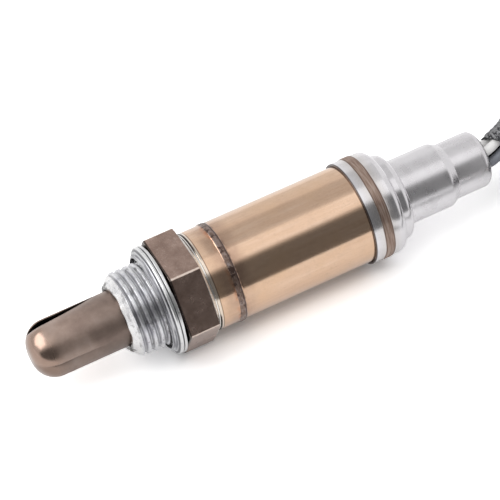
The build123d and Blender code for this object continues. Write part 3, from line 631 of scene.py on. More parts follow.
# %% Bright drawn cap with its weld band
def drawn_bright_steel():
    material, at = new_finish("drawn_bright_steel")
    cloud = noise(at.where, 300, 4)
    ring_marks = streaks(at.where, 4200, 160, 4)
    grain = noise(at.where, 3600, 3)
    colour = ramp(cloud, [(0.3, (0.74, 0.72, 0.74)), (0.6, (0.83, 0.81, 0.83))])
    colour = mix(span(grain, 0.56, 0.7) * 0.25, colour, (0.6, 0.58, 0.6))
    away = abs(at.along + wander(at.where, 170, 2, 0.35) - rear_weld_x)
    weld = span(away, 1.18, 0.98)
    stripes = streaks(at.where, 4200, 330, 3)
    weld_colour = ramp(
        stripes, [(0.3, (0.25, 0.17, 0.14)), (0.5, (0.38, 0.275, 0.225)), (0.7, (0.52, 0.42, 0.36))]
    )
    line = span(abs(away - 0.95), 0.18, 0.06)
    weld_colour = mix(line * 0.6, weld_colour, (0.11, 0.075, 0.06))
    halo = span(away, 3.0, 1.1)
    colour = mix(halo * 0.3, colour, (0.62, 0.56, 0.48))
    colour = mix(weld, colour, weld_colour)
    # painted shade on the cap's cut front edge, for the dark line where it meets the sleeve
    front_edge = span(at.along, 46.4, 46.28)
    colour = mix(front_edge * 0.9, colour, (0.055, 0.035, 0.03))
    barrel = span(at.along, 56.0, 58.0)
    roughness = weld * 0.3 + cloud * 0.1 + barrel * 0.08 + 0.15
    height = stripes * weld * 2.0 + ring_marks
    normal = raised(grain, 0.25, 0.02, raised(height, 0.2, 0.03))
    return set_finish(material, colour, roughness, 1.0, normal)


# %% [markdown]
# ### Rubber, plastic, ceramic and bare steel
#
# The hidden and small pieces share four recipes. Each has its own colour, and a grain at the scale of the
# real stuff: a pressed ceramic is mottled, a moulded plastic is finely dimpled, silicone is dusty.

# %% Shared recipes
def plain_finish(name, colour, darker, roughness, patch, grain, depth, metallic=0.0, **others):
    """Two tones in patches and a fine grain, both in patches per metre; the grain's depth is in mm."""
    material, at = new_finish(name)
    cloud = noise(at.where, patch, 4)
    tone = ramp(cloud, [(0.32, darker), (0.68, colour)])
    normal = raised(noise(at.where, grain, 3), 0.25, depth)
    return set_finish(material, tone, cloud * 0.14 + (roughness - 0.07), metallic, normal, **others)


def silicone(name, colour, darker):
    return plain_finish(name, colour, darker, 0.42, 350, 5000, 0.02)


def moulded(name, colour, darker):
    return plain_finish(name, colour, darker, 0.48, 200, 4200, 0.03)


def ceramic(name, colour, darker):
    return plain_finish(name, colour, darker, 0.55, 500, 3000, 0.02)


def spring_steel(name, colour, darker):
    return plain_finish(name, colour, darker, 0.27, 300, 4000, 0.01, 1.0)


# %% [markdown]
# ## The protection tube
#
# The domed tube keeps droplets off the ceramic. Three louvres let gas in: each is a cut along the tube, with
# the sheet pushed in on one side of it. A grid of points follows the dome; at each cut it has two columns,
# one on the wall and one on the flap, so the slot opens by itself. Solidify then gives the sheet its wall.

# %% Tube sizes
tube_r, tube_wall = 6.0, 0.5
tube_tip_x, tube_end_x = -26.0, -5.7
dome_r, dome_steps, side_steps = 4.8, 26, 56
louvre_angles, louvre_pitch = [50.9, 170.9, 290.9], 120
louvre_width, louvre_depth = 40.0, 1.25
louvre_start_x, louvre_end_x = tube_tip_x + 1.1, tube_tip_x + 16.2
shoulder_x = tube_tip_x + dome_r
wall_width = 117.6 - louvre_width
flap_steps, wall_steps = 14, 22


def flap_depth(x):
    """How far the cut edge is pushed in at x."""
    if not louvre_start_x < x < louvre_end_x:
        return 0.0
    if x < shoulder_x:
        t = (x - louvre_start_x) / (shoulder_x - louvre_start_x)
        return louvre_depth * (1.9 * t - 0.9 * t * t)
    t = (louvre_end_x - x) / (louvre_end_x - shoulder_x)
    return louvre_depth * t * (1.12 - 0.12 * t)


# %% Tube skin
skin = [(tube_tip_x, 0.02), (tube_tip_x, 0.5), (tube_tip_x, tube_r - dome_r)]
for k in range(1, dome_steps + 1):
    a = math.pi / 2 * k / dome_steps
    skin.append((shoulder_x - dome_r * math.cos(a), tube_r - dome_r + dome_r * math.sin(a)))
skin += steps_between((shoulder_x, tube_r), (tube_end_x, tube_r), side_steps)[1:]

# each column has its angle, its share of the flap's depth, and how far its edge is worn
columns = []
slot_columns = []
for cut in louvre_angles:
    columns += [(cut + louvre_width * k / flap_steps, 1 - k / flap_steps, 0.0) for k in range(flap_steps + 1)]
    wall_start = cut + louvre_width
    columns += [(wall_start + wall_width * k / wall_steps, 0.0, 0.0) for k in range(1, wall_steps + 1)]
    columns += [(cut + louvre_pitch - 1.2, 0.0, 0.04), (cut + louvre_pitch, 0.0, 0.17)]
    slot_columns.append(len(columns) - 1)

vertices = []
for x, r in skin:
    depth = flap_depth(x)
    for angle, share, worn in columns:
        pushed = depth * (0.4 * share * share + 0.6 * share) + worn * min(depth, 1)
        vertices.append(on_ring(x, r - pushed, math.radians(angle)))
faces = []
for face in grid_faces(len(skin), len(columns)):
    row, column = divmod(face[0], len(columns))
    x = (skin[row][0] + skin[row + 1][0]) / 2
    if column not in slot_columns or flap_depth(x) == 0:
        faces.append(face)
protection_tube = make_piece("protection_tube_skin", vertices, faces, 60)

# %% Close the pole, give the sheet its wall and bake
pole = bmesh.new()
pole.from_mesh(protection_tube.data)
pole_x = (tube_tip_x + 0.01) * MM
rim = [edge for edge in pole.edges if edge.is_boundary and all(v.co.x < pole_x for v in edge.verts)]
bmesh.ops.holes_fill(pole, edges=rim)
bmesh.ops.recalc_face_normals(pole, faces=pole.faces)
dome_faces = [face for face in pole.faces if face.calc_center_median().x < shoulder_x * MM]
if sum(face.normal.x * face.calc_area() for face in dome_faces) > 0:
    bmesh.ops.reverse_faces(pole, faces=pole.faces)
pole.to_mesh(protection_tube.data)
pole.free()

sheet_wall = protection_tube.modifiers.new("sheet wall", "SOLIDIFY")
sheet_wall.thickness = tube_wall * MM
sheet_wall.offset = -1
sheet_wall.material_offset = sheet_wall.material_offset_rim = 1
protection_tube.data.materials.append(scaled_steel())
# the inside and the cut edges are near black: painted shade of the tube's hollow, seen through the slots
tube_inside_shade = plain_finish(
    "tube_inside_shade", (0.016, 0.013, 0.012), (0.008, 0.007, 0.006), 0.85, 500, 4000, 0.03, Specular_IOR_Level=0.1
)
protection_tube.data.materials.append(tube_inside_shade)
settle(bake_modifiers(protection_tube, 40), "protection_tube")
print("tube faces:", len(protection_tube.data.polygons))

# %% [markdown]
# ## The shell's thread
#
# A thread follows a rule: one ridge climbs a pitch for each turn. Geometry Nodes bend a flat grid into it.
# The grid's one side becomes the way along the axis and the other the angle round it; the radius is a
# trapezium wave of both. The mouth's cone cuts the first turns off, and the neck ends the last.

# %% Geometry Nodes helpers


def new_rule(name, inputs):
    """Geometry Nodes tree with named inputs: the tree, the inputs as values and their identifiers."""
    rule = bpy.data.node_groups.new(name, "GeometryNodeTree")
    identifiers = {}
    for key, value in inputs.items():
        kind = {int: "Int", float: "Float"}.get(type(value), value)
        socket = rule.interface.new_socket(name=key, in_out="INPUT", socket_type=f"NodeSocket{kind}")
        if kind != value:
            socket.default_value = value
        identifiers[key] = socket.identifier
    rule.interface.new_socket(name="Geometry", in_out="OUTPUT", socket_type="NodeSocketGeometry")
    return rule, values(rule.nodes.new("NodeGroupInput")), identifiers


def hand_out(rule, geometry, material):
    """Makes instances real, gives the faces their material and ends the tree."""
    real = add_node(rule, "GeometryNodeRealizeInstances", Geometry=geometry)
    finished = add_node(rule, "GeometryNodeSetMaterial", Geometry=real.outputs[0], Material=material)
    connect(finished.outputs[0], rule.nodes.new("NodeGroupOutput").inputs[0])


def grown(name, rule, identifiers, settings, line=(), sharp_angle=50):
    """Runs a Geometry Nodes tree on a line of points, or on nothing, and keeps the result as plain mesh."""
    mesh = bpy.data.meshes.new(name)
    mesh.from_pydata(line, [(i, i + 1) for i in range(len(line) - 1)], [])
    piece = put_in_scene(name, mesh)
    modifier = piece.modifiers.new(name, "NODES")
    modifier.node_group = rule
    for key, value in settings.items():
        modifier[identifiers[key]] = value
    return bake_modifiers(piece, sharp_angle)


# %% Tree for a machined thread
def thread_rule():
    """A flat grid bent to a thread; lengths are in mm."""
    sizes = {"Mouth": -7.4, "Length": 10.6, "Crest Radius": 8.97, "Depth": 0.62, "Pitch": 1.5}
    sizes |= {"First Angle": 0.38, "Mouth Radius": 7.1, "Cone Slope": 0.8, "Neck Radius": 8.3}
    rule, entry, identifiers = new_rule(
        "machined_thread", {**sizes, "Rows": 200, "Columns": 193, "Finish": "Material"}
    )
    counts = {"Vertices_X": entry["Rows"], "Vertices_Y": entry["Columns"]}
    grid = add_node(rule, "GeometryNodeMeshGrid", Size_X=1.0, Size_Y=1.0, **counts)
    place = rule.nodes.new("GeometryNodeInputPosition").outputs[0]
    flat = values(add_node(rule, "ShaderNodeSeparateXYZ", Vector=place))
    turns = flat["Y"] + 0.5
    along = (flat["X"] + 0.5) * entry["Length"] + entry["Mouth"]
    phase = calc("FRACT", along / entry["Pitch"] - (turns + entry["First Angle"]))
    wave = 1.0 - abs(phase * 2.0 - 1.0)
    flank = calc("MULTIPLY_ADD", wave, 2.0, -0.35, clamp=True)
    ridge = flank * entry["Depth"] + (entry["Crest Radius"] - entry["Depth"])
    cone = (along - entry["Mouth"]) * entry["Cone Slope"] + entry["Mouth Radius"]
    tail = calc("MAXIMUM", 10.05 - along * 1.1, entry["Neck Radius"])
    blend_width = 0.12
    radius = calc("SMOOTH_MIN", calc("SMOOTH_MIN", ridge, cone, blend_width), tail, blend_width)
    angle = turns * (2 * math.pi)
    bent = add_node(
        rule,
        "ShaderNodeCombineXYZ",
        X=along * MM,
        Y=radius * calc("COSINE", angle) * MM,
        Z=radius * calc("SINE", angle) * MM,
    )
    moved = add_node(rule, "GeometryNodeSetPosition", Geometry=grid.outputs["Mesh"], Position=bent.outputs[0])
    seamless = add_node(rule, "GeometryNodeMergeByDistance", Geometry=moved.outputs[0], Distance=seam_gap)
    hand_out(rule, seamless.outputs[0], entry["Finish"])
    return rule, identifiers


# %% Cut the thread
shell_steel = turned_steel()
machined_thread, thread_inputs = thread_rule()
thread = grown("shell_thread", machined_thread, thread_inputs, {"Finish": shell_steel})
print("thread faces:", len(thread.data.polygons))

# %% [markdown]
# ## The hexagon and the mouth
#
# A hexagon bar is turned down at both ends, which leaves curved bevels on its corners. Each ring of points
# takes the smaller of two radii, the flat's and the cone's, so the curved bevels come by themselves. The
# columns crowd at the corners, where a narrow bevel catches the light.

# %% Hexagon
hex_flat_r, hex_corner_r = 11.0, 12.58
hex_columns = [90 + 60 * side + off for side in range(6) for off in (-29, -25, -18, -9, 0, 9, 18, 25, 29)]


def flat_radius(angle):
    """Radius of the six flats at an angle in degrees, with the corners cut by a narrow bevel."""
    off = (angle - 60) % 60 - 30
    return min(hex_flat_r / math.cos(math.radians(off)), hex_corner_r)


# front face and bevel, flats, rear bevel in two slopes, then the collar and its bore
hex_rings = [(3.4, r) for r in (7.0, 8.2, 9.4, 10.4, 11.0, 11.6, 12.0)]
hex_rings += steps_between((3.4, 12.3), (3.6, 12.7), 4)
hex_rings += steps_between((3.6, 13.0), (9.85, 13.0), 6)[1:]
hex_rings += steps_between((9.9, 12.75), (10.2, 11.0), 12)
hex_rings += steps_between((10.2, 11.0), (10.8, 10.45), 4)[1:]
hex_rings += [(11.06, 10.42), (11.08, 10.05), (20.6, 10.05), (21.0, 9.75)]
hex_rings += [(21.0, 8.6), (9.0, 8.6), (9.0, 7.0)]
vertices = []
for x, limit in hex_rings:
    for angle in hex_columns:
        vertices.append(on_ring(x, min(flat_radius(angle), limit), math.radians(angle)))
faces = grid_faces(len(hex_rings), len(hex_columns), wrap_rows=True)
hexagon = make_piece("shell_hexagon", vertices, faces, 20)
wear(hexagon, shell_steel)

# %% Mouth with its rolled lip, and the bore behind it
rolled_lip = [(-7.4, 7.12, 0), (-7.42, 6.95, 0.12), (-7.45, 6.45, 0.1), (-6.9, 6.08, 0), (-6.35, 6.06, 0)]
bore = [(-6.3, 6.85, 0), (-5.7, 6.85, 0), (-5.7, 5.4, 0), (1.6, 5.4, 0), (1.6, 7.0, 0), (3.3, 7.0, 0)]
under_thread = [(3.3, 8.2, 0), (3.0, 8.2, 0), (-5.5, 7.6, 0), (-7.2, 7.05, 0)]
mouth = spin("shell_mouth", bend(rolled_lip + bore + under_thread, 4))
wear(mouth, shell_steel)
shell = settle(join_pieces("shell_dressed", [thread, hexagon, mouth], shell_steel), "shell")
print("shell faces:", len(shell.data.polygons))

# %% [markdown]
# The mouth is rolled over the tube's flange, and no two strokes of the roller are alike. Its rim is pushed
# back more on one side, and wavy, so the ring looks worked by hand and not machined.

# %% Roll the rim
rim_x, rim_r = -7.4, 7.05
cone_end_x, lip_end_x = -5.0, -6.45
for vertex in shell.data.vertices:
    x, y, z = vertex.co / MM
    rear = cone_end_x if math.hypot(y, z) > rim_r else lip_end_x
    if x >= rear:
        continue
    around = math.pi - math.atan2(z, y)
    stroke = 0.42 + 0.34 * math.cos(around - 0.95)
    stroke += 0.10 * math.sin(5 * around + 1) + 0.07 * math.sin(11 * around)
    vertex.co.x += stroke * MM * min((rear - x) / (rear - rim_x), 1)

# %% [markdown]
# ## The crush gasket
#
# A strip of steel is rolled to a ring and folded, so that it gives when the sensor is screwed in. Its rim
# shows two edges with a groove between them, and its front lip stands off the thread with a dark pocket
# behind. The outline walks round the folded strip; spinning it makes the ring.

# %% Gasket
squeeze, squeeze_angle = 0.72, math.radians(42)
squeeze_end_x, squeeze_length = 1.6, 1.1


def squeezed(x, r, angle):
    """The front lip is squeezed oval, which keeps the gasket on the thread."""
    if x > squeeze_end_x or r < 9.0:
        return 0.0
    oval = 0.5 - 0.5 * math.cos(2 * (angle - squeeze_angle))
    return -squeeze * (squeeze_end_x - x) / squeeze_length * oval


front_lip = [(0.52, 9.72, 0.08), (0.60, 10.00, 0.1), (1.22, 10.86, 0.3), (1.50, 10.92, 0.06)]
two_folds = [
    (1.62, 11.38, 0.1), (1.86, 11.62, 0.14), (2.24, 11.62, 0.1), (2.38, 11.26, 0.05),
    (2.52, 11.62, 0.1), (3.06, 11.62, 0.16), (3.22, 11.1, 0.12), (3.36, 10.5, 0.2),
]
inner_strip = [
    (3.38, 8.78, 0.2), (2.6, 8.74, 0.0), (1.2, 8.98, 0.1), (1.25, 9.3, 0.1),
    (2.5, 9.15, 0.2), (2.6, 10.6, 0.3), (1.6, 10.4, 0.3),
]
gasket = spin("gasket_folded", bend(front_lip + two_folds + inner_strip, 5), swell=squeezed)
settle(wear(gasket, bright_strip()), "gasket")
print("gasket faces:", len(gasket.data.polygons))

# %% [markdown]
# ## The sleeve and its front weld
#
# The sleeve is a drawn steel tube, slid over the shell and welded all round. A weld bead is never quite even,
# so its height and its edges wander with a few slow waves of the angle.

# %% Sleeve


def uneven(angle, seed, amount):
    """A slow wander round the ring, the same each run."""
    waves = ((3, 0.5), (7, 0.3), (13, 0.25), (29, 0.2))
    return amount * sum(share * math.sin(n * angle + seed * n) for n, share in waves)


def weld_swell(middle, half_width, height, seed, skin_r):
    """Extra radius of a wandering bead, on the skin that lies outside skin_r."""

    def swell(x, r, angle):
        off = (x - middle - uneven(angle, seed, 0.07)) / half_width
        if abs(off) >= 1 or r <= skin_r:
            return 0.0
        ripple = 0.035 * math.sin(140 * angle + 5 * off)
        return (height + uneven(angle, seed + 2, 0.05)) * math.sqrt(1 - off * off) + ripple * (1 - off * off)

    return swell


sleeve_r, sleeve_bore_r = 10.6, 10.1
sleeve_front_x, rolled_end_x, sleeve_rear_x = 11.1, 11.6, 52.1
rolled_edge = [(sleeve_front_x, sleeve_bore_r, 0.12), (sleeve_front_x, sleeve_r, 0.16)]
rolled_edge += [(rolled_end_x, sleeve_r, 0.0), (rolled_end_x, sleeve_bore_r, 0.0)]
sleeve_outline = bend(rolled_edge, 6)[:-2] + [(11.66, 10.53), (11.82, 10.53), (11.95, sleeve_r)]
sleeve_outline += steps_between((14.9, sleeve_r), (17.3, sleeve_r), 24) + [(sleeve_rear_x, sleeve_r)]
sleeve_outline += [(x, sleeve_bore_r) for x in (sleeve_rear_x, 40.0, 20.0)]
sleeve = spin("sleeve_bronze", sleeve_outline, 360, weld_swell(front_weld_x, 0.80, 0.13, 1.0, 10.55))
settle(wear(sleeve, bronze_sheet()), "outer_sleeve")
print("sleeve faces:", len(sleeve.data.polygons))

# %% [markdown]
# ## The stepped cap
#
# The cap is drawn in four diameters. Its rounded shoulders give the bright bands that run round it. The rear
# weld goes through the cap into the sleeve and stands out as a low brown band.

# %% Cap
cap_front_x, cap_end_x, cap_r = 46.1, 76.9, 11.15
cap_skin = [
    (cap_front_x, cap_r, 0.12), (53.9, cap_r, 1.7), (53.9, 9.35, 0.15), (56.6, 9.35, 1.6), (56.6, 7.03, 0.2),
    (67.0, 7.03, 1.6), (68.7, 6.14, 0.3), (cap_end_x, 6.14, 1.5), (cap_end_x, 4.4, 0.12),
]
cap_inside = [
    (76.4, 4.4, 0.12), (76.4, 5.64, 1.0), (68.4, 5.64, 0.3), (66.8, 6.53, 0.8), (56.1, 6.53, 0.3),
    (56.1, 8.85, 1.0), (53.4, 8.85, 0.3), (53.4, 10.65, 0.8), (cap_front_x, 10.65, 0.1),
]
cap_outline = bend(cap_skin + cap_inside, 9)
# finer steps under the weld, in front of the first shoulder
shoulder = next(i for i, (x, r) in enumerate(cap_outline) if x > 50 and r > 11)
cap_outline[shoulder:shoulder] = steps_between((47.7, cap_r), (50.7, cap_r), 26)
cap = spin("cap_drawn", cap_outline, 300, weld_swell(rear_weld_x, 1.25, 0.09, 4.0, 11.1))
settle(wear(cap, drawn_bright_steel()), "rear_cap")
print("cap faces:", len(cap.data.polygons))

# %% [markdown]
# ## The wires
#
# Four silicone wires leave the grommet on a circle, close up and go into the woven sleeve: black, grey and
# two white ones for the heater. At the other end they spread again to the plug's seal.

# %% Wire routes
wire_r, wire_sides = 1.025, 24
wire_angles = {"black": -53.1, "white_a": 36.9, "white_b": 126.9, "grey": 216.9}
bundle_twist = -25.0
plug_corners = {"black": (1, 1), "white_a": (-1, 1), "white_b": (-1, -1), "grey": (1, -1)}
wire_circle_r, bundle_r = 2.1, 1.59
lead_start = lead_path[0] / MM
lead_heading = (Vector(lead_exit_route[1]) - Vector(lead_exit_route[0])).normalized()
mouth_depth, plug_depth = 6.0, 7.0
tail_end = Vector(lead_tail_route[-1])
tail_run = tail_end - Vector(lead_tail_route[-2])
plug_heading = Vector((tail_run.x, tail_run.y, 0)).normalized()
plug_across = Vector((0, 0, 1)).cross(plug_heading)
plug_pitch, plug_gap = 4.4, 5.0
seal_face = tail_end + plug_heading * plug_gap


def sensor_wire(angle):
    """Points of one wire from its crimp to well inside the woven sleeve."""
    turned = math.radians(angle + bundle_twist)
    out = Vector((0, math.cos(turned), math.sin(turned)))
    square = (out - lead_heading * out.dot(lead_heading)).normalized() * bundle_r
    leaving = Vector((cap_end_x + 3.4, 0, 0)) + out * wire_circle_r
    held = [on_ring(x, wire_circle_r, math.radians(angle)) / MM for x in (58.5, 70.0, cap_end_x)]
    return [*held, leaving, lead_start + lead_heading * mouth_depth + square]


def plug_wire(column, row):
    """Points of one wire from inside the woven sleeve to inside the plug."""
    corner = plug_across * column + Vector((0, 0, row))
    start = tail_end + corner * (bundle_r / math.sqrt(2))
    hole = seal_face + corner * (plug_pitch / 2)
    straight = plug_heading * 1.3
    return [start, start + straight, hole - straight, hole, hole + plug_heading * plug_depth]


# %% Wires
wire_finishes = {
    "black": silicone("silicone_black", (0.010, 0.010, 0.011), (0.006, 0.006, 0.007)),
    "white_a": silicone("silicone_white", (0.95, 0.94, 0.93), (0.91, 0.90, 0.89)),
    "grey": silicone("silicone_grey", (0.27, 0.29, 0.33), (0.21, 0.22, 0.25)),
}
wire_finishes["white_b"] = wire_finishes["white_a"]
for name, angle in wire_angles.items():
    stretches = []
    for label, route in (("front", sensor_wire(angle)), ("plug", plug_wire(*plug_corners[name]))):
        line = smooth_path(route)
        stretch = sweep(f"wire_{name}_{label}", line, path_length(line), wire_sides, lambda *at: wire_r * MM)
        stretches.append(stretch)
    piece = join_pieces(f"wire_{name}_insulation", stretches, wire_finishes[name])
    shade(piece.data, 50)
    settle(piece, f"wire_{name}")

# %% [markdown]
# ## The woven lead
#
# A glass-fibre sleeve keeps the wires from heat and wear. It is braided: yarns climb to the right and to the
# left, and each goes over and under the others. Its free end is cut and opens like a small trumpet. One skin
# follows the whole path and carries the braid in its finish; real yarns are laid over the open end, where
# they can be seen one by one.

# %% Skin of the lead
lead_r = lead_d / 2
flare_r, flare_length = 4.2 * MM, 6.5 * MM
lead_wall, lead_sides = 0.45 * MM, 40


def flared_r(distance):
    """Outer radius of the woven sleeve at a distance from its open end."""
    t = min(distance / flare_length, 1)
    return lead_r + (flare_r - lead_r) * (1 - t) ** 2 * (1 + 0.6 * t)


def resampled(points, gap):
    """Points at even gaps along a line of points, with the first and last kept."""
    total = path_length(points)
    count = max(int(total / gap), 2)
    result, walked, i = [points[0]], 0.0, 0
    for k in range(1, count):
        goal = total * k / count
        while walked + (points[i + 1] - points[i]).length < goal:
            walked += (points[i + 1] - points[i]).length
            i += 1
        step = points[i + 1] - points[i]
        result.append(points[i] + step * ((goal - walked) / step.length))
    return result + [points[-1]]


def frayed_r(distance, angle, inset):
    """Radius of the skin: round, but a little ragged at the cut end."""
    fray = max(1 - distance / flare_length, 0)
    ragged = 1 + (0.03 * math.sin(5 * angle + 1) + 0.02 * math.sin(9 * angle)) * fray
    return (flared_r(distance) + inset) * ragged


lead_line = resampled(lead_path, 1.0 * MM)
last = len(lead_line) - 1
# the skin starts inside the mouth, turns over its lip, runs to the plug and turns in again
lead_stations = [(i, -lead_wall) for i in range(9, -1, -1)] + [(0, -0.1 * MM)]
lead_stations += [(i, 0.0) for i in range(last + 1)] + [(last - i, -lead_wall) for i in range(5)]
lead_woven = sweep("lead_woven", lead_line, lead_length, lead_sides, frayed_r, lead_stations)
print("lead faces:", len(lead_woven.data.polygons))

# %% Braided finish
yarns_each_way = 12
braid_lay = 15 * MM


def braided(name, light, dark, fleck):
    """Two families of yarn that cross over and under, each yarn with its own tone."""
    material, at = new_finish(name)
    tree = material.node_tree
    marks = add_node(tree, "ShaderNodeUVMap", {"uv_map": "length_and_turn"}).outputs["UV"]
    length_mark, turn_mark, _ = values(add_node(tree, "ShaderNodeSeparateXYZ", Vector=marks)).values()
    climb, turns = length_mark * (yarns_each_way / braid_lay), turn_mark * yarns_each_way
    right, left = turns + climb, turns - climb

    def crown(across):
        off = calc("FRACT", across) * 2.0 - 1.0
        return 1.0 - off * off

    right_yarn, left_yarn = calc("FLOOR", right), calc("FLOOR", left)
    over = calc("GREATER_THAN", abs((right_yarn + left_yarn) % 2.0), 0.5)
    top = mix(over, crown(right), crown(left))
    along = mix(over, crown(left), crown(right))
    height = top**0.6 * (along * 0.55 + 0.45)
    yarn = mix(over, right_yarn, left_yarn + 90.5)
    tone = Value(add_node(tree, "ShaderNodeTexWhiteNoise", {"noise_dimensions": "1D"}, W=yarn).outputs["Value"])
    # yarn crowns lighter and the dips between yarns darker: painted shade of the weave, with each yarn's own
    # tone
    colour = mix(height * (tone * 0.6 + 0.4), dark, light)
    speck = span(noise(at.where, 2300, 2), 0.57, 0.63)
    colour = mix(speck * height * 0.8, colour, fleck)
    fibres = noise(at.where, 7000, 2)
    normal = raised(fibres, 0.3, 0.05, raised(height, 0.9, 0.3))
    soft = {"Sheen_Weight": 0.1, "Specular_IOR_Level": 0.25}
    return set_finish(material, colour, fibres * 0.2 + 0.5, 0.0, normal, **soft)


braid_finish = braided("glass_braid", (0.062, 0.062, 0.070), (0.012, 0.012, 0.014), (0.66, 0.66, 0.67))
wear(lead_woven, braid_finish)

# %% [markdown]
# ### Yarns at the open end
#
# Geometry Nodes lay the yarns. A short piece of the lead's line is sampled at each point of each yarn, and the
# point is set off from it by the flared radius, at an angle that grows along the yarn. Half the yarns turn
# one way and half the other, and a wave lifts each over its neighbours.

# %% Tree for the yarns


def vector_calc(operation, first, **others):
    """Result of a Vector Math node on one vector and, by name, a second vector or a scale."""
    node = add_node(first.tree, "ShaderNodeVectorMath", {"operation": operation})
    connect(first, node.inputs[0])
    for key, value in others.items():
        connect(value, node.inputs["Scale" if key == "scale" else 1])
    return Value(node.outputs[0])


def yarn_rule():
    """Yarns laid round the start of a line; sizes are in mm."""
    sizes = {"Length": 9.0, "Lay": 15.0, "Radius": 3.0, "Mouth Radius": 4.25, "Flare Length": 6.0}
    rule, entry, identifiers = new_rule(
        "braid_yarns",
        {"Line": "Geometry", "Yarns": 24, "Points": 60, **sizes, "Yarn Radius": 0.25, "Finish": "Material"},
    )
    line = add_node(rule, "GeometryNodeMeshToCurve", Mesh=entry["Line"])
    starts = add_node(rule, "GeometryNodeMeshLine", Count=entry["Yarns"])
    strand = rule.nodes.new("GeometryNodeCurvePrimitiveLine")
    finer = add_node(rule, "GeometryNodeResampleCurve", Curve=strand.outputs[0], Count=entry["Points"])
    laid = add_node(rule, "GeometryNodeInstanceOnPoints", Points=starts.outputs[0], Instance=finer.outputs[0])
    real = add_node(rule, "GeometryNodeRealizeInstances", Geometry=laid.outputs[0])

    index = Value(rule.nodes.new("GeometryNodeInputIndex").outputs[0])
    own = calc("FLOOR", index / entry["Points"])
    share = index % entry["Points"] / (entry["Points"] - 1.0)
    odd = own % 2.0
    uneven_end = add_node(rule, "FunctionNodeRandomValue", {"data_type": "FLOAT"}, ID=own, Seed=7)
    uneven_end.inputs[2].default_value, uneven_end.inputs[3].default_value = -0.5, 0.9
    from_end = share * entry["Length"] + Value(uneven_end.outputs[1])
    turned = from_end / entry["Lay"]
    turn = turned * (1.0 - odd * 2.0) + calc("FLOOR", own / 2.0) / yarns_each_way
    weave = calc("SINE", turned * (2 * math.pi * yarns_each_way) + odd * math.pi)
    t = calc("DIVIDE", from_end, entry["Flare Length"], clamp=True)
    open_end = (1.0 - t) ** 2.0 * (t * 0.6 + 1.0)
    radius = open_end * (entry["Mouth Radius"] - entry["Radius"]) + entry["Radius"] + weave * 0.12

    place = add_node(rule, "GeometryNodeSampleCurve", {"mode": "LENGTH"}, Length=from_end * MM)
    connect(line.outputs[0], place.inputs[0])
    on_line = values(place)
    across = vector_calc("CROSS_PRODUCT", on_line["Tangent"], second=on_line["Normal"])
    angle, reach = turn * (2 * math.pi), radius * MM
    to_side = vector_calc("SCALE", on_line["Normal"], scale=reach * calc("COSINE", angle))
    to_top = vector_calc("SCALE", across, scale=reach * calc("SINE", angle))
    out = vector_calc("ADD", to_side, second=to_top)
    position = vector_calc("ADD", on_line["Position"], second=out)
    moved = add_node(rule, "GeometryNodeSetPosition", Geometry=real.outputs[0], Position=position)

    outline = add_node(rule, "GeometryNodeCurvePrimitiveCircle", Resolution=6, Radius=1.0)
    swept = add_node(rule, "GeometryNodeCurveToMesh", Curve=moved.outputs[0], Fill_Caps=True)
    connect(outline.outputs[0], swept.inputs[1])
    connect(entry["Yarn Radius"] * MM, swept.inputs["Scale"])
    hand_out(rule, swept.outputs[0], entry["Finish"])
    return rule, identifiers


# %% Yarns
yarn_finish = plain_finish("yarn", (0.36, 0.36, 0.37), (0.030, 0.030, 0.033), 0.62, 1900, 6500, 0.05)
braid_yarns, yarn_inputs = yarn_rule()
mouth_yarns = grown("lead_mouth_yarns", braid_yarns, yarn_inputs, {"Finish": yarn_finish}, lead_line[:20], 60)
print("yarn faces:", len(mouth_yarns.data.polygons))

# %% [markdown]
# ## Pieces that the frame already shapes
#
# The ceramic, springs and contacts inside, and the tie and plug at the end, keep the frame's own solids. Each
# takes a finish of its real stuff, and so does the rubber grommet that fills the cap's end.

# %% Finishes of the frame's pieces
alumina = ceramic("alumina", (0.86, 0.85, 0.82), (0.78, 0.76, 0.72))
contact_steel = spring_steel("contact_steel", (0.68, 0.66, 0.62), (0.56, 0.54, 0.50))
tinned = spring_steel("tinned_brass", (0.76, 0.74, 0.69), (0.62, 0.59, 0.53))
node_finishes = {
    "sensing_element": ceramic("zirconia", (0.80, 0.76, 0.66), (0.72, 0.67, 0.56)),
    "heater_rod": alumina,
    "support_insulator": alumina,
    "contact_holder": alumina,
    "packing_ring": ceramic("pressed_talc", (0.62, 0.62, 0.60), (0.50, 0.50, 0.47)),
    "sealing_ring": contact_steel,
    "inner_contact": contact_steel,
    "outer_contact": contact_steel,
    "heater_contacts": contact_steel,
    "disc_spring": spring_steel("disc_spring_steel", (0.58, 0.57, 0.58), (0.44, 0.43, 0.45)),
    "crimp_terminals": tinned,
    "connector_terminals": tinned,
    "grommet": silicone("grommet_rubber", (0.035, 0.032, 0.032), (0.020, 0.018, 0.018)),
    "coil_tie": moulded("tie_nylon", (0.030, 0.030, 0.032), (0.018, 0.018, 0.019)),
    "connector_housing": moulded("plug_plastic", (0.075, 0.078, 0.085), (0.052, 0.054, 0.060)),
    "connector_lock": moulded("lock_plastic", (0.40, 0.42, 0.45), (0.33, 0.35, 0.38)),
    "connector_seal": silicone("seal_silicone", (0.62, 0.20, 0.06), (0.50, 0.15, 0.05)),
}
for name, material in node_finishes.items():
    wear(nodes[name], material)
# the plug lies close in front of the bright cap, and would show in it as a dark band
plug_nodes = [nodes["connector_" + part] for part in ("housing", "seal", "lock", "terminals")]
for node in (*plug_nodes, nodes["coil_tie"]):
    node.visible_glossy = False

# %% [markdown]
# ## Where the soft lead lies
#
# The woven lead stands for the frame's sleeve, coil and tail nodes, and the yarns at its open end ride on the
# same body.

settle(lead_woven, "lead_sleeve", "lead_coil", "lead_tail")
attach(mouth_yarns, "root")

# %% [markdown]
# ## Floor and light
#
# A white room with a white floor, as for a catalogue. Bright metal shows whatever stands round it, so four
# cards, two grey and two bright, give the turned parts their long bands. Only reflections see them.

# %% Floor
floor_z = cad_low[2]


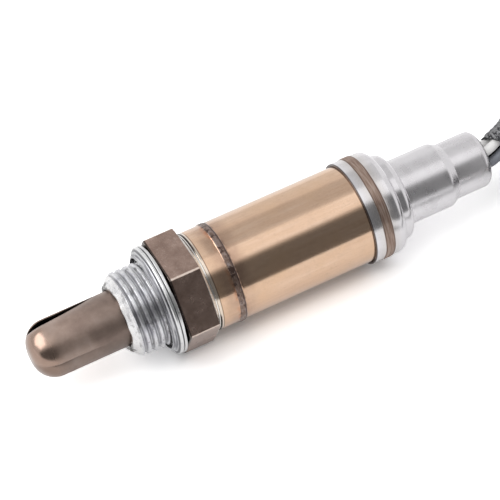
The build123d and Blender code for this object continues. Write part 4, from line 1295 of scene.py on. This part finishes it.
def ray_kinds(tree):
    """Whether a ray comes from the camera, and whether it comes by way of something shiny."""
    seen = values(tree.nodes.new("ShaderNodeLightPath"))
    return seen["Is Camera Ray"], calc("MAXIMUM", seen["Is Glossy Ray"], seen["Is Transmission Ray"])


def show_as(material, shader):
    """Puts a shader in place of the material's usual one."""
    nodes_of_it = material.node_tree.nodes
    nodes_of_it.remove(nodes_of_it["Principled BSDF"])
    connect(shader.outputs[0], nodes_of_it["Material Output"].inputs["Surface"])
    return material


def plain_floor():
    """Matt white, whiter to the camera than to the object; less whitened right under the sensor, a painted
    shadow.
    """
    material, at = new_finish("floor")
    tree = material.node_tree
    straight, mirrored = ray_kinds(tree)
    # painted shadow: the whitening fades out right under the sensor, in reflections too; under the tube it is
    # strongest, painted light that takes away its shadow
    clear_of_sensor = span(at.side, -4.5, -9.0)
    for beyond in (span(at.along, 5, 0), span(at.along, 46, 54), span(at.side, 6, 13)):
        clear_of_sensor = calc("MAXIMUM", clear_of_sensor, beyond)
    extra = (span(at.along, 3, -9) * 0.20 + 0.80) * straight * clear_of_sensor
    white = mix(mirrored, (0.88, 0.88, 0.88), (0.71, 0.71, 0.71))
    matt = add_node(tree, "ShaderNodeBsdfDiffuse", Color=white)
    lit = add_node(tree, "ShaderNodeBsdfDiffuse", Color=mix(extra, (0, 0, 0), (1, 1, 1)))
    glow = add_node(tree, "ShaderNodeEmission", Strength=mirrored * clear_of_sensor * 0.28)
    whole = matt
    for layer in (lit, glow):
        both = tree.nodes.new("ShaderNodeAddShader")
        connect(whole.outputs[0], both.inputs[0])
        connect(layer.outputs[0], both.inputs[1])
        whole = both
    return show_as(material, whole)


floor_reach = 2.0
corners = [(x * floor_reach, y * floor_reach, floor_z) for x, y in ((-1, -1), (1, -1), (1, 1), (-1, 1))]
floor = make_piece("floor", corners, [(0, 1, 2, 3)])
wear(floor, plain_floor())
print("floor at z in mm:", round(floor_z / MM, 2))

# %% Room
world = bpy.data.worlds.new("room")
bpy.context.scene.world = world
world.use_nodes = True
backdrop = world.node_tree.nodes["Background"]
backdrop.inputs["Color"].default_value = (1, 1, 1, 1)
straight, mirrored = ray_kinds(world.node_tree)
connect(straight * 0.16 + (0.84 - mirrored * 0.02), backdrop.inputs["Strength"])

lamp_data = bpy.data.lights.new("overhead", "AREA")
lamp_data.shape = "DISK"
lamp_data.size = 1.2
lamp_data.energy = 4.5
lamp = put_in_scene("overhead", lamp_data)
lamp.location = (-0.45, 0.10, 1.30)
lamp.rotation_mode = "QUATERNION"
lamp.rotation_quaternion = (-lamp.location).to_track_quat("-Z", "Y")
lamp.visible_glossy = False
print("lamp at", [round(v, 2) for v in lamp.location])

# %% Cards


def card_finish(name, radiance, angles, reach, soft_angles, soft_x):
    """Even light that fades out at the card's edges. Angles are in degrees, reach and soft_x in metres."""
    material, at = new_finish(name)
    tree = material.node_tree
    turn = calc("WRAP", math.pi - at.turn, math.pi, -math.pi)
    low, high, soft_low, soft_high = (math.radians(a) for a in (*angles, *soft_angles))
    start, end, soft = (x / MM for x in (*reach, soft_x))
    share = span(turn, low, low + soft_low) * span(turn, high, high - soft_high)
    share = share * span(at.along, start, start + soft) * span(at.along, end, end - soft)
    if radiance > 1:
        # a bright card shows in the metal, but throws no light through it on the floor
        bounces = values(tree.nodes.new("ShaderNodeLightPath"))["Diffuse Depth"]
        share = share * calc("LESS_THAN", bounces, 0.5)
    glow = add_node(tree, "ShaderNodeEmission", Color=(radiance, radiance, radiance))
    both = tree.nodes.new("ShaderNodeMixShader")
    clear = tree.nodes.new("ShaderNodeBsdfTransparent")
    for value, socket in zip((share, clear.outputs[0], glow.outputs[0]), both.inputs):
        connect(value, socket)
    return show_as(material, both)


def stand_card(name, radiance, distance, angles, reach, soft_angles, soft_x):
    """Curved card round the sensor's axis, seen by reflections only. Angles run from -Y towards +Z."""
    steps, above_floor = 32, 0.4 * MM
    vertices = []
    for k in range(steps + 1):
        a = math.radians(angles[0] + (angles[1] - angles[0]) * k / steps)
        far = min(distance, (above_floor + floor_z) / math.sin(a)) if a < 0 else distance
        for x in reach:
            vertices.append((x, -far * math.cos(a), far * math.sin(a)))
    faces = [(2 * k, 2 * k + 1, 2 * k + 3, 2 * k + 2) for k in range(steps)]
    card = make_piece(name, vertices, faces)
    wear(card, card_finish(name, radiance, angles, reach, soft_angles, soft_x))
    for seen_by in ("camera", "diffuse", "shadow", "transmission"):
        setattr(card, "visible_" + seen_by, False)


# name, radiance, distance from the axis, from and to angle, from and to x, soft edges in angle and in x
cards = (
    ("card_near", 0.155, 0.15, (-5.4, 62), (-0.75, 0.20), (2.5, 16), 0.07),
    ("card_far", 0.60, 0.9, (86, 144), (-0.10, 0.60), (13, 13), 0.2),
    ("card_top", 1.06, 1.1, (52, 94), (-0.75, 0.75), (8, 8), 0.2),
    ("card_key", 3.0, 1.25, (62, 152), (-3.2, -0.40), (14, 14), 0.3),
)
for card in cards:
    stand_card(*card)
print("cards:", [card[0] for card in cards])

# %% Colours as written
bpy.context.scene.view_settings.view_transform = "Standard"
